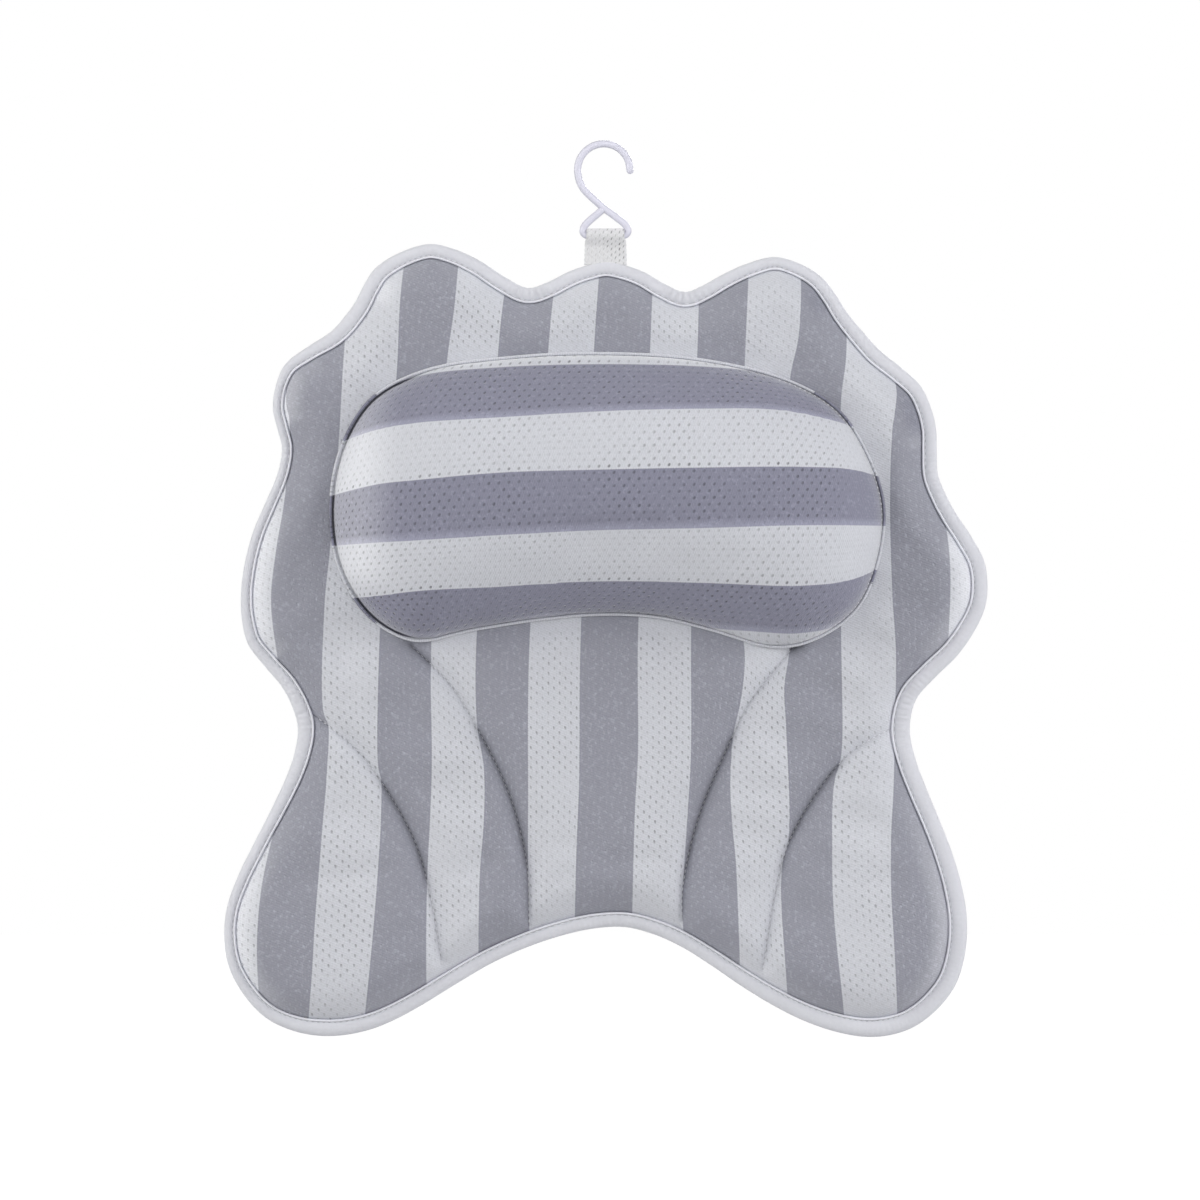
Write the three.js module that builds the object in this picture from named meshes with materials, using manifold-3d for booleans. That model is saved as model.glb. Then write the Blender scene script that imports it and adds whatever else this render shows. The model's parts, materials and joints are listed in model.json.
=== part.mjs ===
// Bath pillow: a quilted mesh pad with a raised head cushion, a hanging hook and suction cups.
// Millimetres. +Z is up, +X is to the right seen from the front, and the front faces -Y.
// The origin lies on the wall that the cups grip, on the axis of the centre cup.
import * as THREE from "three";
import { mergeVertices } from "three/addons/utils/BufferGeometryUtils.js";
import Module from "manifold-3d";

const wasm = await Module();
wasm.setup();

// Sizes of the pad
const padWidth = 382;
const padHeight = 397.5;
const frontCrown = 9;
const backCrown = 6;
const crownReach = 16;
const coverThickness = 1.8;
const layerGap = 0.3;
const bindingWidth = 9;
const bindingThickness = 0.9;
const bindingRounding = 1.3;
const seamShoulder = 11;
const lobeSlot = 2.4;

// Sizes of the head cushion
const cushionWidth = 275.5;
const cushionHeight = 148;
const cushionCrown = 42;
const cushionReach = 68;
const cushionFlange = 2.2;

// Sizes of the hook and its tab
const wireDiameter = 3.2;
const hookRadius = 13;
const hookRise = 32.5;
const hookOffset = 1.25;
const legKnee = 12.75;
const legKneeInset = 4;
const crossingRise = 13.2;
const barStraight = 17.6;
const barCornerRadius = 2.5;
const barCornerRise = 4.6;
const wireStep = 3.4;
const tabTopWidth = 17.4;
const tabFootWidth = 20.4;
const tabPly = 1.6;
const tabLength = 11.4;

// Sizes of the suction cups and their eyelets
const cupDiameter = 50;
const cupHeight = 9;
const cupLip = 3;
const cupLipThickness = 0.9;
const cupCavityDepth = 4.5;
const cupShoulderDiameter = 15;
const cupNeckDiameter = 8;
const cupHeadDiameter = 16;
const cupHeadThickness = 3.5;
const cupHeadRounding = 1.1;
const eyeletFlange = 0.9;
const eyeletDiameter = 17;
const eyeletWall = 0.8;
const pocketClearance = 1.2;

// Counts
const outlineSteps = 2;
const cushionSteps = 3;
const seamSteps = 8;
const cupSides = 16;
const wireSides = 8;
const arcPoints = 7;
const tabArcPoints = 8;

// Shares that shape the swells, chosen by eye
const shoulderShare = 0.3;
const crownPowerShare = 0.75;
const seamDepthShare = 0.65;
const interiorSpacingShare = 0.11;
const closestShare = 0.22;
const superTriangleShare = 12;
const cushionPowerShare = 0.62;
const cushionRingShares = [0.04, 0.1, 0.19, 0.32, 0.5, 0.74];
const cushionInnerRingShares = [0.06, 0.2, 0.45, 0.74];

// Photograph pixels, from the photo's top left corner
const padWidthPx = 764;
const padHeightPx = 795;
const originPx = [605.5, 500];
const padOutlinePx = [
  [606, 261], [644, 271], [685, 291], [722, 274], [775, 256], [822, 276], [848, 312],
  [881, 350], [922, 386], [937, 428], [939, 474], [957, 513], [985, 560], [986, 608],
  [958, 656], [918, 698], [911, 735], [927, 788], [952, 850], [968, 920], [957, 985],
  [915, 1028], [865, 1038], [800, 1020], [740, 986], [682, 948], [625, 928], [560, 937],
  [490, 965], [420, 1007], [372, 1030], [318, 1037], [265, 1019], [228, 968], [226, 908],
  [252, 846], [286, 776], [297, 728], [281, 687], [247, 644], [240, 592], [252, 532],
  [275, 478], [281, 447], [272, 408], [284, 364], [330, 331], [354, 302], [375, 267],
  [430, 243], [480, 260], [528, 287], [568, 271],
];
const cushionWidthPx = 551;
const cushionHeightPx = 296;
const cushionCentrePx = [605, 500];
const cushionOutlinePx = [
  [597, 352], [699, 358], [788, 379], [838, 408], [868, 452], [885, 505], [880, 560],
  [858, 610], [812, 642], [770, 648], [720, 634], [660, 619], [600, 616], [540, 621],
  [470, 632], [415, 642], [372, 621], [340, 575], [329, 518], [338, 452], [370, 398],
  [425, 369], [510, 356],
];
const innerSeamsPx = [
  [[411, 646], [449, 683], [479, 732], [510, 797], [527, 866], [529, 926]],
  [[795, 645], [751, 701], [728, 747], [698, 820], [683, 887], [682, 921]],
];
const outerSeamsPx = [
  [[313, 715], [355, 748], [383, 785], [415, 843], [432, 904], [441, 960]],
  [[892, 728], [852, 752], [819, 790], [789, 843], [775, 895], [763, 970]],
];
const cupsPx = [
  [605.5, 500], [428, 322], [775, 332], [314, 590], [912, 590], [322, 935], [870, 935],
];

// Depths worked out from the wall forwards
const backFace = -(cupHeight + layerGap + eyeletFlange + layerGap);
const backInner = backFace - coverThickness;
const padPlane = backInner - backCrown - layerGap / 2;
const frontInner = padPlane - layerGap / 2 - frontCrown;
const frontFace = frontInner - coverThickness;
const cushionBase = frontFace - layerGap;
const coverEdge = bindingThickness + layerGap;
const riseStart = bindingWidth + layerGap;

// Finishes
const finishes = {
  fabric: { color: 0xb4b6c1, roughness: 0.9, metalness: 0 },
  lining: { color: 0xd2d5dc, roughness: 0.92, metalness: 0 },
  binding: { color: 0xdcdee6, roughness: 0.85, metalness: 0 },
  cushion: { color: 0xa6a8b6, roughness: 0.9, metalness: 0 },
  filling: { color: 0xf2f2f0, roughness: 1, metalness: 0 },
  hook: { color: 0xe4e4ee, roughness: 0.4, metalness: 0 },
  tab: { color: 0xd9dce2, roughness: 0.9, metalness: 0 },
  cup: { color: 0xe8eef2, roughness: 0.15, metalness: 0 },
  eyelet: { color: 0xe6e6ea, roughness: 0.45, metalness: 0 },
};

const pillow = new THREE.Group();

function addPiece(name, geometry, finish, place = [0, 0, 0]) {
  const mesh = new THREE.Mesh(geometry, new THREE.MeshStandardMaterial(finish));
  mesh.name = name;
  mesh.position.set(...place);
  pillow.add(mesh);
}

// Joining and cutting of closed geometries
function solidOf(geometry) {
  const bare = geometry.clone();
  bare.deleteAttribute("normal");
  bare.deleteAttribute("uv");
  const merged = mergeVertices(bare);
  return new wasm.Manifold(
    new wasm.Mesh({
      numProp: 3,
      vertProperties: new Float32Array(merged.attributes.position.array),
      triVerts: new Uint32Array(merged.index.array),
    }),
  );
}

function geometryOf(solid) {
  const mesh = solid.getMesh();
  const geometry = new THREE.BufferGeometry();
  geometry.setAttribute("position", new THREE.BufferAttribute(mesh.vertProperties, 3));
  geometry.setIndex(new THREE.BufferAttribute(mesh.triVerts, 1));
  geometry.computeVertexNormals();
  return geometry;
}

function geometryFrom(points, faces) {
  const geometry = new THREE.BufferGeometry().setFromPoints(points);
  geometry.setIndex(faces.flat());
  geometry.computeVertexNormals();
  return geometry;
}

// Plan geometry: Vector2 with x to the right and y standing for the height z
function padPoint([px, py]) {
  return new THREE.Vector2(
    ((px - originPx[0]) * padWidth) / padWidthPx,
    ((originPx[1] - py) * padHeight) / padHeightPx,
  );
}

function cushionPoint([px, py]) {
  const centre = padPoint(cushionCentrePx);
  return new THREE.Vector2(
    centre.x + ((px - cushionCentrePx[0]) * cushionWidth) / cushionWidthPx,
    centre.y + ((cushionCentrePx[1] - py) * cushionHeight) / cushionHeightPx,
  );
}

function smoothLoop(corners, steps) {
  const curve = new THREE.CatmullRomCurve3(
    corners.map((corner) => new THREE.Vector3(corner.x, 0, corner.y)),
    true,
    "centripetal",
  );
  const count = corners.length * steps;
  return Array.from({ length: count }, (_, i) => {
    const at = curve.getPoint(i / count);
    const along = curve.getTangent(i / count);
    return {
      point: new THREE.Vector2(at.x, at.z),
      inward: new THREE.Vector2(along.z, -along.x).normalize(),
    };
  });
}

function smoothRun(corners, steps) {
  const curve = new THREE.CatmullRomCurve3(
    corners.map((corner) => new THREE.Vector3(corner.x, 0, corner.y)),
  );
  return curve.getSpacedPoints(steps).map((at) => new THREE.Vector2(at.x, at.z));
}

function insetLoop(loop, distance) {
  return loop.map(({ point, inward }) => point.clone().addScaledVector(inward, distance));
}

function distanceToEdge(point, from, to) {
  const along = to.clone().sub(from);
  const offset = point.clone().sub(from);
  const share = THREE.MathUtils.clamp(offset.dot(along) / along.lengthSq(), 0, 1);
  return offset.addScaledVector(along, -share).length();
}

function distanceToRun(point, corners, closed) {
  let least = Infinity;
  const count = closed ? corners.length : corners.length - 1;
  for (let i = 0; i < count; i += 1) {
    const next = corners[(i + 1) % corners.length];
    least = Math.min(least, distanceToEdge(point, corners[i], next));
  }
  return least;
}

function isInside(point, corners) {
  let inside = false;
  corners.forEach((to, i) => {
    const from = corners[(i + corners.length - 1) % corners.length];
    if (from.y > point.y === to.y > point.y) return;
    const crossing = ((from.x - to.x) * (point.y - to.y)) / (from.y - to.y) + to.x;
    if (point.x < crossing) inside = !inside;
  });
  return inside;
}

function turnOf(a, b, c) {
  return (b.x - a.x) * (c.y - a.y) - (b.y - a.y) * (c.x - a.x);
}

function circleHolds(a, b, c, point) {
  const rows = [a, b, c].map((corner) => {
    const x = corner.x - point.x;
    const y = corner.y - point.y;
    return [x, y, x * x + y * y];
  });
  const [[ax, ay, as], [bx, by, bs], [cx, cy, cs]] = rows;
  return ax * (by * cs - bs * cy) - ay * (bx * cs - bs * cx) + as * (bx * cy - by * cx) > 0;
}

// Delaunay triangles of the points, each turning anticlockwise
function triangulate(points) {
  const span = new THREE.Box2().setFromPoints(points).getSize(new THREE.Vector2()).length();
  const far = span * superTriangleShare;
  const all = [
    ...points,
    new THREE.Vector2(-far, -far),
    new THREE.Vector2(far, -far),
    new THREE.Vector2(0, far),
  ];
  const count = points.length;
  let triangles = [[count, count + 1, count + 2]];
  points.forEach((point, index) => {
    const opened = new Map();
    triangles = triangles.filter(([a, b, c]) => {
      if (!circleHolds(all[a], all[b], all[c], point)) return true;
      for (const [from, to] of [[a, b], [b, c], [c, a]]) {
        if (!opened.delete(`${to},${from}`)) opened.set(`${from},${to}`, [from, to]);
      }
      return false;
    });
    for (const [from, to] of opened.values()) {
      if (turnOf(all[from], all[to], point) > 0) triangles.push([from, to, index]);
    }
  });
  return triangles.filter((triangle) => triangle.every((corner) => corner < count));
}

function trianglesWithin(points, triangles, corners) {
  return triangles.filter((triangle) => {
    const centre = new THREE.Vector2();
    triangle.forEach((corner) => centre.add(points[corner]));
    return isInside(centre.divideScalar(triangle.length), corners);
  });
}

// A closed solid over a plan, between a front and a back height
function slab(points, triangles, frontOf, backOf) {
  const used = [...new Set(triangles.flat())];
  const order = new Map(used.map((corner, i) => [corner, i]));
  const count = used.length;
  const raise = (heightOf) => (corner) => {
    const at = points[corner];
    return new THREE.Vector3(at.x, heightOf(at), at.y);
  };
  const corners = [...used.map(raise(frontOf)), ...used.map(raise(backOf))];
  const faces = [];
  const open = new Map();
  for (const triangle of triangles) {
    const [a, b, c] = triangle.map((corner) => order.get(corner));
    faces.push([a, b, c], [a + count, c + count, b + count]);
    for (const [from, to] of [[a, b], [b, c], [c, a]]) {
      if (!open.delete(`${to},${from}`)) open.set(`${from},${to}`, [from, to]);
    }
  }
  for (const [from, to] of open.values()) {
    faces.push([to, from, from + count], [to, from + count, to + count]);
  }
  return geometryFrom(corners, faces);
}

// The pad's plan: rings along its edge, rows along its seams and a sparse grid
const padLoop = smoothLoop(padOutlinePx.map(padPoint), outlineSteps);
const padOutline = padLoop.map(({ point }) => point);
const innerSeams = innerSeamsPx.map((seam) => smoothRun(seam.map(padPoint), seamSteps));
const outerSeams = outerSeamsPx.map((seam) => smoothRun(seam.map(padPoint), seamSteps));
const seams = [...innerSeams, ...outerSeams];

function padPlan() {
  const fillEdge = riseStart + crownReach * shoulderShare;
  const closest = crownReach * closestShare;
  const coarse = padLoop.filter((_, i) => i % outlineSteps === 0);
  const points = [
    ...insetLoop(padLoop, coverEdge),
    ...insetLoop(padLoop, riseStart),
    ...insetLoop(padLoop, fillEdge),
    ...insetLoop(coarse, riseStart + crownReach),
  ];
  const addClear = (point, clearance) => {
    const clear = points.every((other) => other.distanceTo(point) > clearance);
    const deep = distanceToRun(point, padOutline, true) > fillEdge + closest;
    if (clear && deep && isInside(point, padOutline)) points.push(point);
  };
  for (const seam of seams) {
    seam.forEach((point, i) => {
      const along = seam[Math.min(i + 1, seamSteps)].clone().sub(seam[Math.max(i - 1, 0)]).normalize();
      const across = new THREE.Vector2(along.y, -along.x);
      addClear(point, closest);
      addClear(point.clone().addScaledVector(across, seamShoulder), closest);
      addClear(point.clone().addScaledVector(across, -seamShoulder), closest);
    });
  }
  const spacing = padWidth * interiorSpacingShare;
  const box = new THREE.Box2().setFromPoints(padOutline);
  let row = 0;
  for (let z = box.min.y; z < box.max.y; z += spacing) {
    const shift = row % 2 ? spacing / 2 : 0;
    for (let x = box.min.x + shift; x < box.max.x; x += spacing) {
      addClear(new THREE.Vector2(x, z), spacing / 2);
    }
    row += 1;
  }
  const triangles = trianglesWithin(points, triangulate(points), insetLoop(padLoop, coverEdge));
  return { points, triangles };
}

function swell(share, power) {
  const rest = 1 - THREE.MathUtils.clamp(share, 0, 1);
  return (1 - rest * rest) ** power;
}

function padRise(point) {
  const depth = distanceToRun(point, padOutline, true) - riseStart;
  const creases = seams.map((seam) => {
    const share = 1 - Math.min(distanceToRun(point, seam, false) / seamShoulder, 1);
    return 1 - seamDepthShare * share * share;
  });
  return swell(depth / crownReach, crownPowerShare) * Math.min(...creases);
}

const plan = padPlan();
const flatCount = padLoop.length * 2;
const riseAt = new Map(plan.points.map((point, i) => [point, i < flatCount ? 0 : padRise(point)]));
const frontInnerAt = (point) => frontInner + frontCrown * (1 - riseAt.get(point));
const backInnerAt = (point) => backInner - backCrown * (1 - riseAt.get(point));

function cylinderAt([x, z], radius, from, to) {
  const cylinder = new THREE.CylinderGeometry(radius, radius, to - from, cupSides);
  return solidOf(cylinder.translate(x, (from + to) / 2, z));
}

const cupPlaces = cupsPx.map((place) => padPoint(place).toArray());

function frontCover() {
  return slab(plan.points, plan.triangles, (at) => frontInnerAt(at) - coverThickness, frontInnerAt);
}

function backCover() {
  let cover = solidOf(
    slab(plan.points, plan.triangles, backInnerAt, (at) => backInnerAt(at) + coverThickness),
  );
  const radius = cupNeckDiameter / 2 + layerGap + eyeletWall + layerGap;
  for (const place of cupPlaces) {
    cover = cover.subtract(cylinderAt(place, radius, padPlane, 0));
  }
  return geometryOf(cover);
}

// Everything beyond an outer seam, shifted sideways, as a prism through the pad
function beyondSeam(seam, side, shift) {
  const corners = seam.map((at) => new THREE.Vector2(at.x + shift, at.y));
  const [first, last, previous] = [corners[0], corners.at(-1), corners.at(-2)];
  const foot = last.clone().sub(previous).setLength(padHeight / 2).add(last);
  const outside = first.x + side * padWidth;
  const lower = new THREE.Vector2(outside, foot.y);
  const upper = new THREE.Vector2(outside, first.y);
  const prism = new THREE.ExtrudeGeometry(new THREE.Shape([...corners, foot, lower, upper]), {
    depth: -2 * padPlane,
    bevelEnabled: false,
  });
  return solidOf(prism.rotateX(Math.PI / 2));
}

function largestPart(solid) {
  const parts = solid.decompose();
  return parts.reduce((best, part) => (part.volume() > best.volume() ? part : best));
}

function padFills() {
  const triangles = plan.triangles.filter((triangle) => Math.min(...triangle) >= flatCount);
  let fill = solidOf(
    slab(
      plan.points,
      triangles,
      (at) => frontInnerAt(at) + layerGap,
      (at) => backInnerAt(at) - layerGap,
    ),
  );
  const radius = cupHeadDiameter / 2 + pocketClearance;
  const floor = backInner - layerGap - eyeletFlange - layerGap - cupHeadThickness - pocketClearance;
  for (const place of cupPlaces) fill = fill.subtract(cylinderAt(place, radius, floor, 0));
  const [left, right] = outerSeams;
  const half = lobeSlot / 2;
  const main = fill.subtract(beyondSeam(left, -1, half)).subtract(beyondSeam(right, 1, -half));
  return {
    main_fill: largestPart(main),
    left_lobe_fill: largestPart(fill.intersect(beyondSeam(left, -1, -half))),
    right_lobe_fill: largestPart(fill.intersect(beyondSeam(right, 1, half))),
  };
}

// The binding tape, folded round the pad's edge
function edgeBinding() {
  const inner = layerGap / 2 + coverThickness + layerGap;
  const outer = inner + bindingThickness;
  const section = [
    [bindingWidth, -outer],
    [bindingRounding, -outer],
    [0, 0],
    [bindingRounding, outer],
    [bindingWidth, outer],
    [bindingWidth, inner],
    [bindingThickness, inner],
    [bindingThickness, -inner],
    [bindingWidth, -inner],
  ];
  const rings = section.map(([inset, y]) =>
    insetLoop(padLoop, inset).map((at) => new THREE.Vector3(at.x, padPlane + y, at.y)),
  );
  const count = padLoop.length;
  const faces = [];
  rings.forEach((_, i) => {
    const next = (i + 1) % rings.length;
    for (let k = 0; k < count; k += 1) {
      const after = (k + 1) % count;
      faces.push([i * count + k, next * count + after, next * count + k]);
      faces.push([i * count + k, i * count + after, next * count + after]);
    }
  });
  return geometryFrom(rings.flat(), faces);
}

// The head cushion's plan and swell
const cushionLoop = smoothLoop(cushionOutlinePx.map(cushionPoint), cushionSteps);
const cushionOutline = cushionLoop.map(({ point }) => point);
const cushionCentre = padPoint(cushionCentrePx);

function cushionSwell(point, inset, height) {
  const depth = distanceToRun(point, cushionOutline, true) - inset;
  return height * swell(depth / cushionReach, cushionPowerShare);
}

function towardsCentre(loop, share) {
  return loop.map((point) => point.clone().lerp(cushionCentre, share));
}

// A skin of rings that starts and ends at a point over the cushion's centre
function closedRings(rings, firstTip, lastTip) {
  const count = rings[0].length;
  const points = [...rings.flat(), firstTip, lastTip];
  const first = rings.length * count;
  const faces = [];
  for (let k = 0; k < count; k += 1) {
    const after = (k + 1) % count;
    faces.push([first, after, k]);
    faces.push([first + 1, (rings.length - 1) * count + k, (rings.length - 1) * count + after]);
    for (let i = 0; i + 1 < rings.length; i += 1) {
      faces.push([i * count + k, i * count + after, (i + 1) * count + after]);
      faces.push([i * count + k, (i + 1) * count + after, (i + 1) * count + k]);
    }
  }
  return geometryFrom(points, faces);
}

function raised(ring, riseOf) {
  return ring.map((at) => new THREE.Vector3(at.x, cushionBase - riseOf(at), at.y));
}

function tipOf(rise) {
  return new THREE.Vector3(cushionCentre.x, cushionBase - rise, cushionCentre.y);
}

function cushionCover() {
  const rim = insetLoop(cushionLoop, cushionFlange);
  const innerInset = cushionFlange + coverThickness;
  const innerRim = insetLoop(cushionLoop, innerInset);
  const outerRise = (at) =>
    coverThickness + cushionSwell(at, cushionFlange, cushionCrown - coverThickness);
  const innerRise = (at) => cushionSwell(at, innerInset, cushionCrown - coverThickness);
  const rings = [
    ...cushionRingShares.map((share) => raised(towardsCentre(rim, share), outerRise)).reverse(),
    raised(rim, () => coverThickness),
    raised(cushionOutline, () => coverThickness),
    raised(cushionOutline, () => 0),
    raised(innerRim, () => 0),
    ...cushionInnerRingShares.map((share) => raised(towardsCentre(innerRim, share), innerRise)),
  ];
  return closedRings(rings, tipOf(outerRise(cushionCentre)), tipOf(innerRise(cushionCentre)));
}

function cushionFill() {
  const inset = cushionFlange + coverThickness + layerGap * 2;
  const rim = insetLoop(cushionLoop, inset);
  const height = cushionCrown - coverThickness - layerGap * 4;
  const riseOf = (at) => cushionSwell(at, inset + layerGap * 2, height);
  const rings = [
    ...cushionInnerRingShares.map((share) => raised(towardsCentre(rim, share), riseOf)).reverse(),
    raised(rim, () => 0),
  ];
  return closedRings(rings, tipOf(riseOf(cushionCentre)), tipOf(0));
}

// The hook: one bent wire whose foot closes on itself round the tab
const tabSeam = padPoint(padOutlinePx[0]);
const foldAxis = tabSeam.y + layerGap + tabPly;
const barHeight = foldAxis + tabLength;

function wireAlong(points) {
  const path = new THREE.CatmullRomCurve3(
    points.map(([x, z]) => new THREE.Vector3(x, padPlane, z)),
    false,
    "centripetal",
  );
  const section = new THREE.Shape();
  const radius = wireDiameter / 2;
  for (let i = 0; i < wireSides; i += 1) {
    const angle = (2 * Math.PI * i) / wireSides;
    const corner = [radius * Math.cos(angle), radius * Math.sin(angle)];
    if (i) section.lineTo(...corner);
    else section.moveTo(...corner);
  }
  const steps = Math.ceil(path.getLength() / wireStep);
  return solidOf(new THREE.ExtrudeGeometry(section, { steps, extrudePath: path }));
}

function barCorner(side) {
  const centre = [side * (barStraight / 2), barHeight + barCornerRadius];
  return [0, 1, 2, 3].map((step) => {
    const angle = (step * Math.PI) / 6;
    return [
      centre[0] + side * barCornerRadius * Math.sin(angle),
      centre[1] - barCornerRadius * Math.cos(angle),
    ];
  });
}

function hangingHook() {
  const centre = [-hookOffset, barHeight + hookRise];
  const curl = Array.from({ length: arcPoints }, (_, i) => {
    const angle = (i * Math.PI) / (arcPoints - 1);
    return [centre[0] + hookRadius * Math.cos(angle), centre[1] + hookRadius * Math.sin(angle)];
  });
  const knee = [centre[0] - hookRadius + legKneeInset, centre[1] - legKnee];
  const crossing = [0, barHeight + crossingRise];
  const shoulderOf = (side) => [
    side * (barStraight / 2 + barCornerRadius - wireDiameter / 4),
    barHeight + barCornerRise,
  ];
  const tip = [curl[0][0], curl[0][1] - wireDiameter / 2];
  const overlap = [-wireDiameter, barHeight];
  const rising = [
    tip, ...curl, knee, crossing, shoulderOf(1), ...barCorner(1).reverse(), [0, barHeight], overlap,
  ];
  const closing = [[0, barHeight], ...barCorner(-1), shoulderOf(-1), crossing];
  const cap = new THREE.SphereGeometry(wireDiameter / 2, wireSides, wireSides);
  cap.translate(tip[0], padPlane, tip[1]);
  return geometryOf(wireAlong(rising).add(wireAlong(closing)).add(solidOf(cap)));
}

// The tab: two plies of webbing sewn together, with the hook's bar in their fold
function hangingTab() {
  const hole = wireDiameter / 2 + layerGap;
  const fold = hole + tabPly;
  const shape = new THREE.Shape();
  const arcOf = (radius, from, to, height) =>
    Array.from({ length: tabArcPoints + 1 }, (_, i) => {
      const angle = from + ((to - from) * i) / tabArcPoints;
      return new THREE.Vector2(radius * Math.cos(angle), height + radius * Math.sin(angle));
    });
  shape.setFromPoints([
    ...arcOf(fold, 0, Math.PI, tabLength),
    ...arcOf(tabPly, Math.PI, 2 * Math.PI, 0),
  ]);
  shape.holes.push(new THREE.Path(arcOf(hole, 2 * Math.PI, 0, tabLength).slice(0, -1)));
  const band = new THREE.ExtrudeGeometry(shape, { depth: 1, bevelEnabled: false });
  const places = band.getAttribute("position");
  for (let i = 0; i < places.count; i += 1) {
    const up = THREE.MathUtils.clamp(places.getY(i) / tabLength, 0, 1);
    const width = THREE.MathUtils.lerp(tabFootWidth, tabTopWidth, up);
    places.setXYZ(i, (places.getZ(i) - 0.5) * width, places.getX(i), places.getY(i));
  }
  return band;
}

// A turned cup: head, neck, shoulder, thin dome and flat lip, hollow behind
function suctionCup() {
  const neckEnd = -(cupHeight + layerGap + eyeletFlange + layerGap) - coverThickness;
  const headStart = neckEnd - layerGap - eyeletFlange - layerGap;
  const headEnd = headStart - cupHeadThickness;
  const rim = cupDiameter / 2;
  const profile = [
    [0, headEnd],
    [cupHeadDiameter / 2 - cupHeadRounding, headEnd],
    [cupHeadDiameter / 2, headEnd + cupHeadRounding],
    [cupHeadDiameter / 2, headStart],
    [cupNeckDiameter / 2, headStart],
    [cupNeckDiameter / 2, -cupHeight],
    [cupShoulderDiameter / 2, -cupHeight],
    [(cupShoulderDiameter / 2 + rim) / 2, -(cupCavityDepth + cupLipThickness)],
    [rim, -cupLipThickness],
    [rim, 0],
    [rim - cupLip, 0],
    [(cupShoulderDiameter / 2 + rim - cupLip) / 2, -cupCavityDepth + cupLipThickness],
    [cupShoulderDiameter / 2, -cupCavityDepth],
    [0, -cupCavityDepth],
  ];
  return new THREE.LatheGeometry(
    profile.map(([radius, y]) => new THREE.Vector2(radius, y)),
    cupSides,
  );
}

// A ring set in the back cover round each cup's neck
function eyelet() {
  const bore = cupNeckDiameter / 2 + layerGap;
  const barrel = bore + eyeletWall;
  const outerFace = -(cupHeight + layerGap);
  const innerFace = backInner - layerGap - eyeletFlange;
  const profile = [
    [bore, innerFace],
    [eyeletDiameter / 2, innerFace],
    [eyeletDiameter / 2, innerFace + eyeletFlange],
    [barrel, innerFace + eyeletFlange],
    [barrel, outerFace - eyeletFlange],
    [eyeletDiameter / 2, outerFace - eyeletFlange],
    [eyeletDiameter / 2, outerFace],
    [bore, outerFace],
    [bore, innerFace],
  ];
  return new THREE.LatheGeometry(
    profile.map(([radius, y]) => new THREE.Vector2(radius, y)),
    cupSides,
  );
}

addPiece("front_cover", frontCover(), finishes.fabric);
addPiece("back_cover", backCover(), finishes.lining);
addPiece("edge_binding", edgeBinding(), finishes.binding);
for (const [name, fill] of Object.entries(padFills())) {
  addPiece(name, geometryOf(fill), finishes.filling);
}
addPiece("cushion_cover", cushionCover(), finishes.cushion);
addPiece("cushion_fill", cushionFill(), finishes.filling);
addPiece("hook", hangingHook(), finishes.hook);
addPiece("hanging_tab", hangingTab(), finishes.tab, [0, padPlane, foldAxis]);
cupPlaces.forEach(([x, z], i) => {
  addPiece(`suction_cup_${i + 1}`, suctionCup(), finishes.cup, [x, 0, z]);
  addPiece(`eyelet_${i + 1}`, eyelet(), finishes.eyelet, [x, 0, z]);
});

export default pillow;
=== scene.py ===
"""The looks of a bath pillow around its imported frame: fabric, tape, thread, filling, hook and suction cups.

Metres. +Z is up, +X is to the right seen from the front, and the front faces -Y, as in the frame.
"""

import json
import math

import bpy
import numpy as np
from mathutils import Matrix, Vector, geometry, kdtree


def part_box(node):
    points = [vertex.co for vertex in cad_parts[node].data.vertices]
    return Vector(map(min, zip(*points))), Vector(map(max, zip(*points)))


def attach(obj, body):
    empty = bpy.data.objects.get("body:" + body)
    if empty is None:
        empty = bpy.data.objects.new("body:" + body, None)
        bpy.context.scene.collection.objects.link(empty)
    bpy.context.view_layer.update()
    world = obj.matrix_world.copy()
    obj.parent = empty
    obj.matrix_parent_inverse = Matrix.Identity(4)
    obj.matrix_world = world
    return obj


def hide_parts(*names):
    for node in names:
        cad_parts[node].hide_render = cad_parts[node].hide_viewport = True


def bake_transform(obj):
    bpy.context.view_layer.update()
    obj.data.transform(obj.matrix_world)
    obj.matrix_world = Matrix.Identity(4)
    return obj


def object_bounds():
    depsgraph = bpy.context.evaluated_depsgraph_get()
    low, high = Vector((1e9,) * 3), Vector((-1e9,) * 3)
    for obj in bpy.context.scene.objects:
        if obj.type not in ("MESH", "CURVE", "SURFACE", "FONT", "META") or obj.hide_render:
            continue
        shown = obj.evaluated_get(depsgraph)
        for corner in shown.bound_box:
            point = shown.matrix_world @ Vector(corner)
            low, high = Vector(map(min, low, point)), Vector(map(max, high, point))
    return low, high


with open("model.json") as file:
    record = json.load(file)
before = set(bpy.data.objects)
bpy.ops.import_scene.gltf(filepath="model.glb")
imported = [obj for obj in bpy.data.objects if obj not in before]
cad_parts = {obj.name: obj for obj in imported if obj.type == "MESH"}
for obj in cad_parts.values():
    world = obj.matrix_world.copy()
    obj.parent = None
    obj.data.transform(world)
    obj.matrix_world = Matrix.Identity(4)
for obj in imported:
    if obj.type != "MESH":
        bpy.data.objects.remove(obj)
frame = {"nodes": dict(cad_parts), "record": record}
cad_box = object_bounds()
scene = bpy.context.scene
scene.view_settings.view_transform = "Standard"

MM = 0.001

# The photograph: its side, the size of its pixels on the object, and the pixel at the frame's origin
PHOTO_SIDE = 1200
PIXEL = 0.5 * MM
ORIGIN_PX = (605.5, 500)


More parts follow.
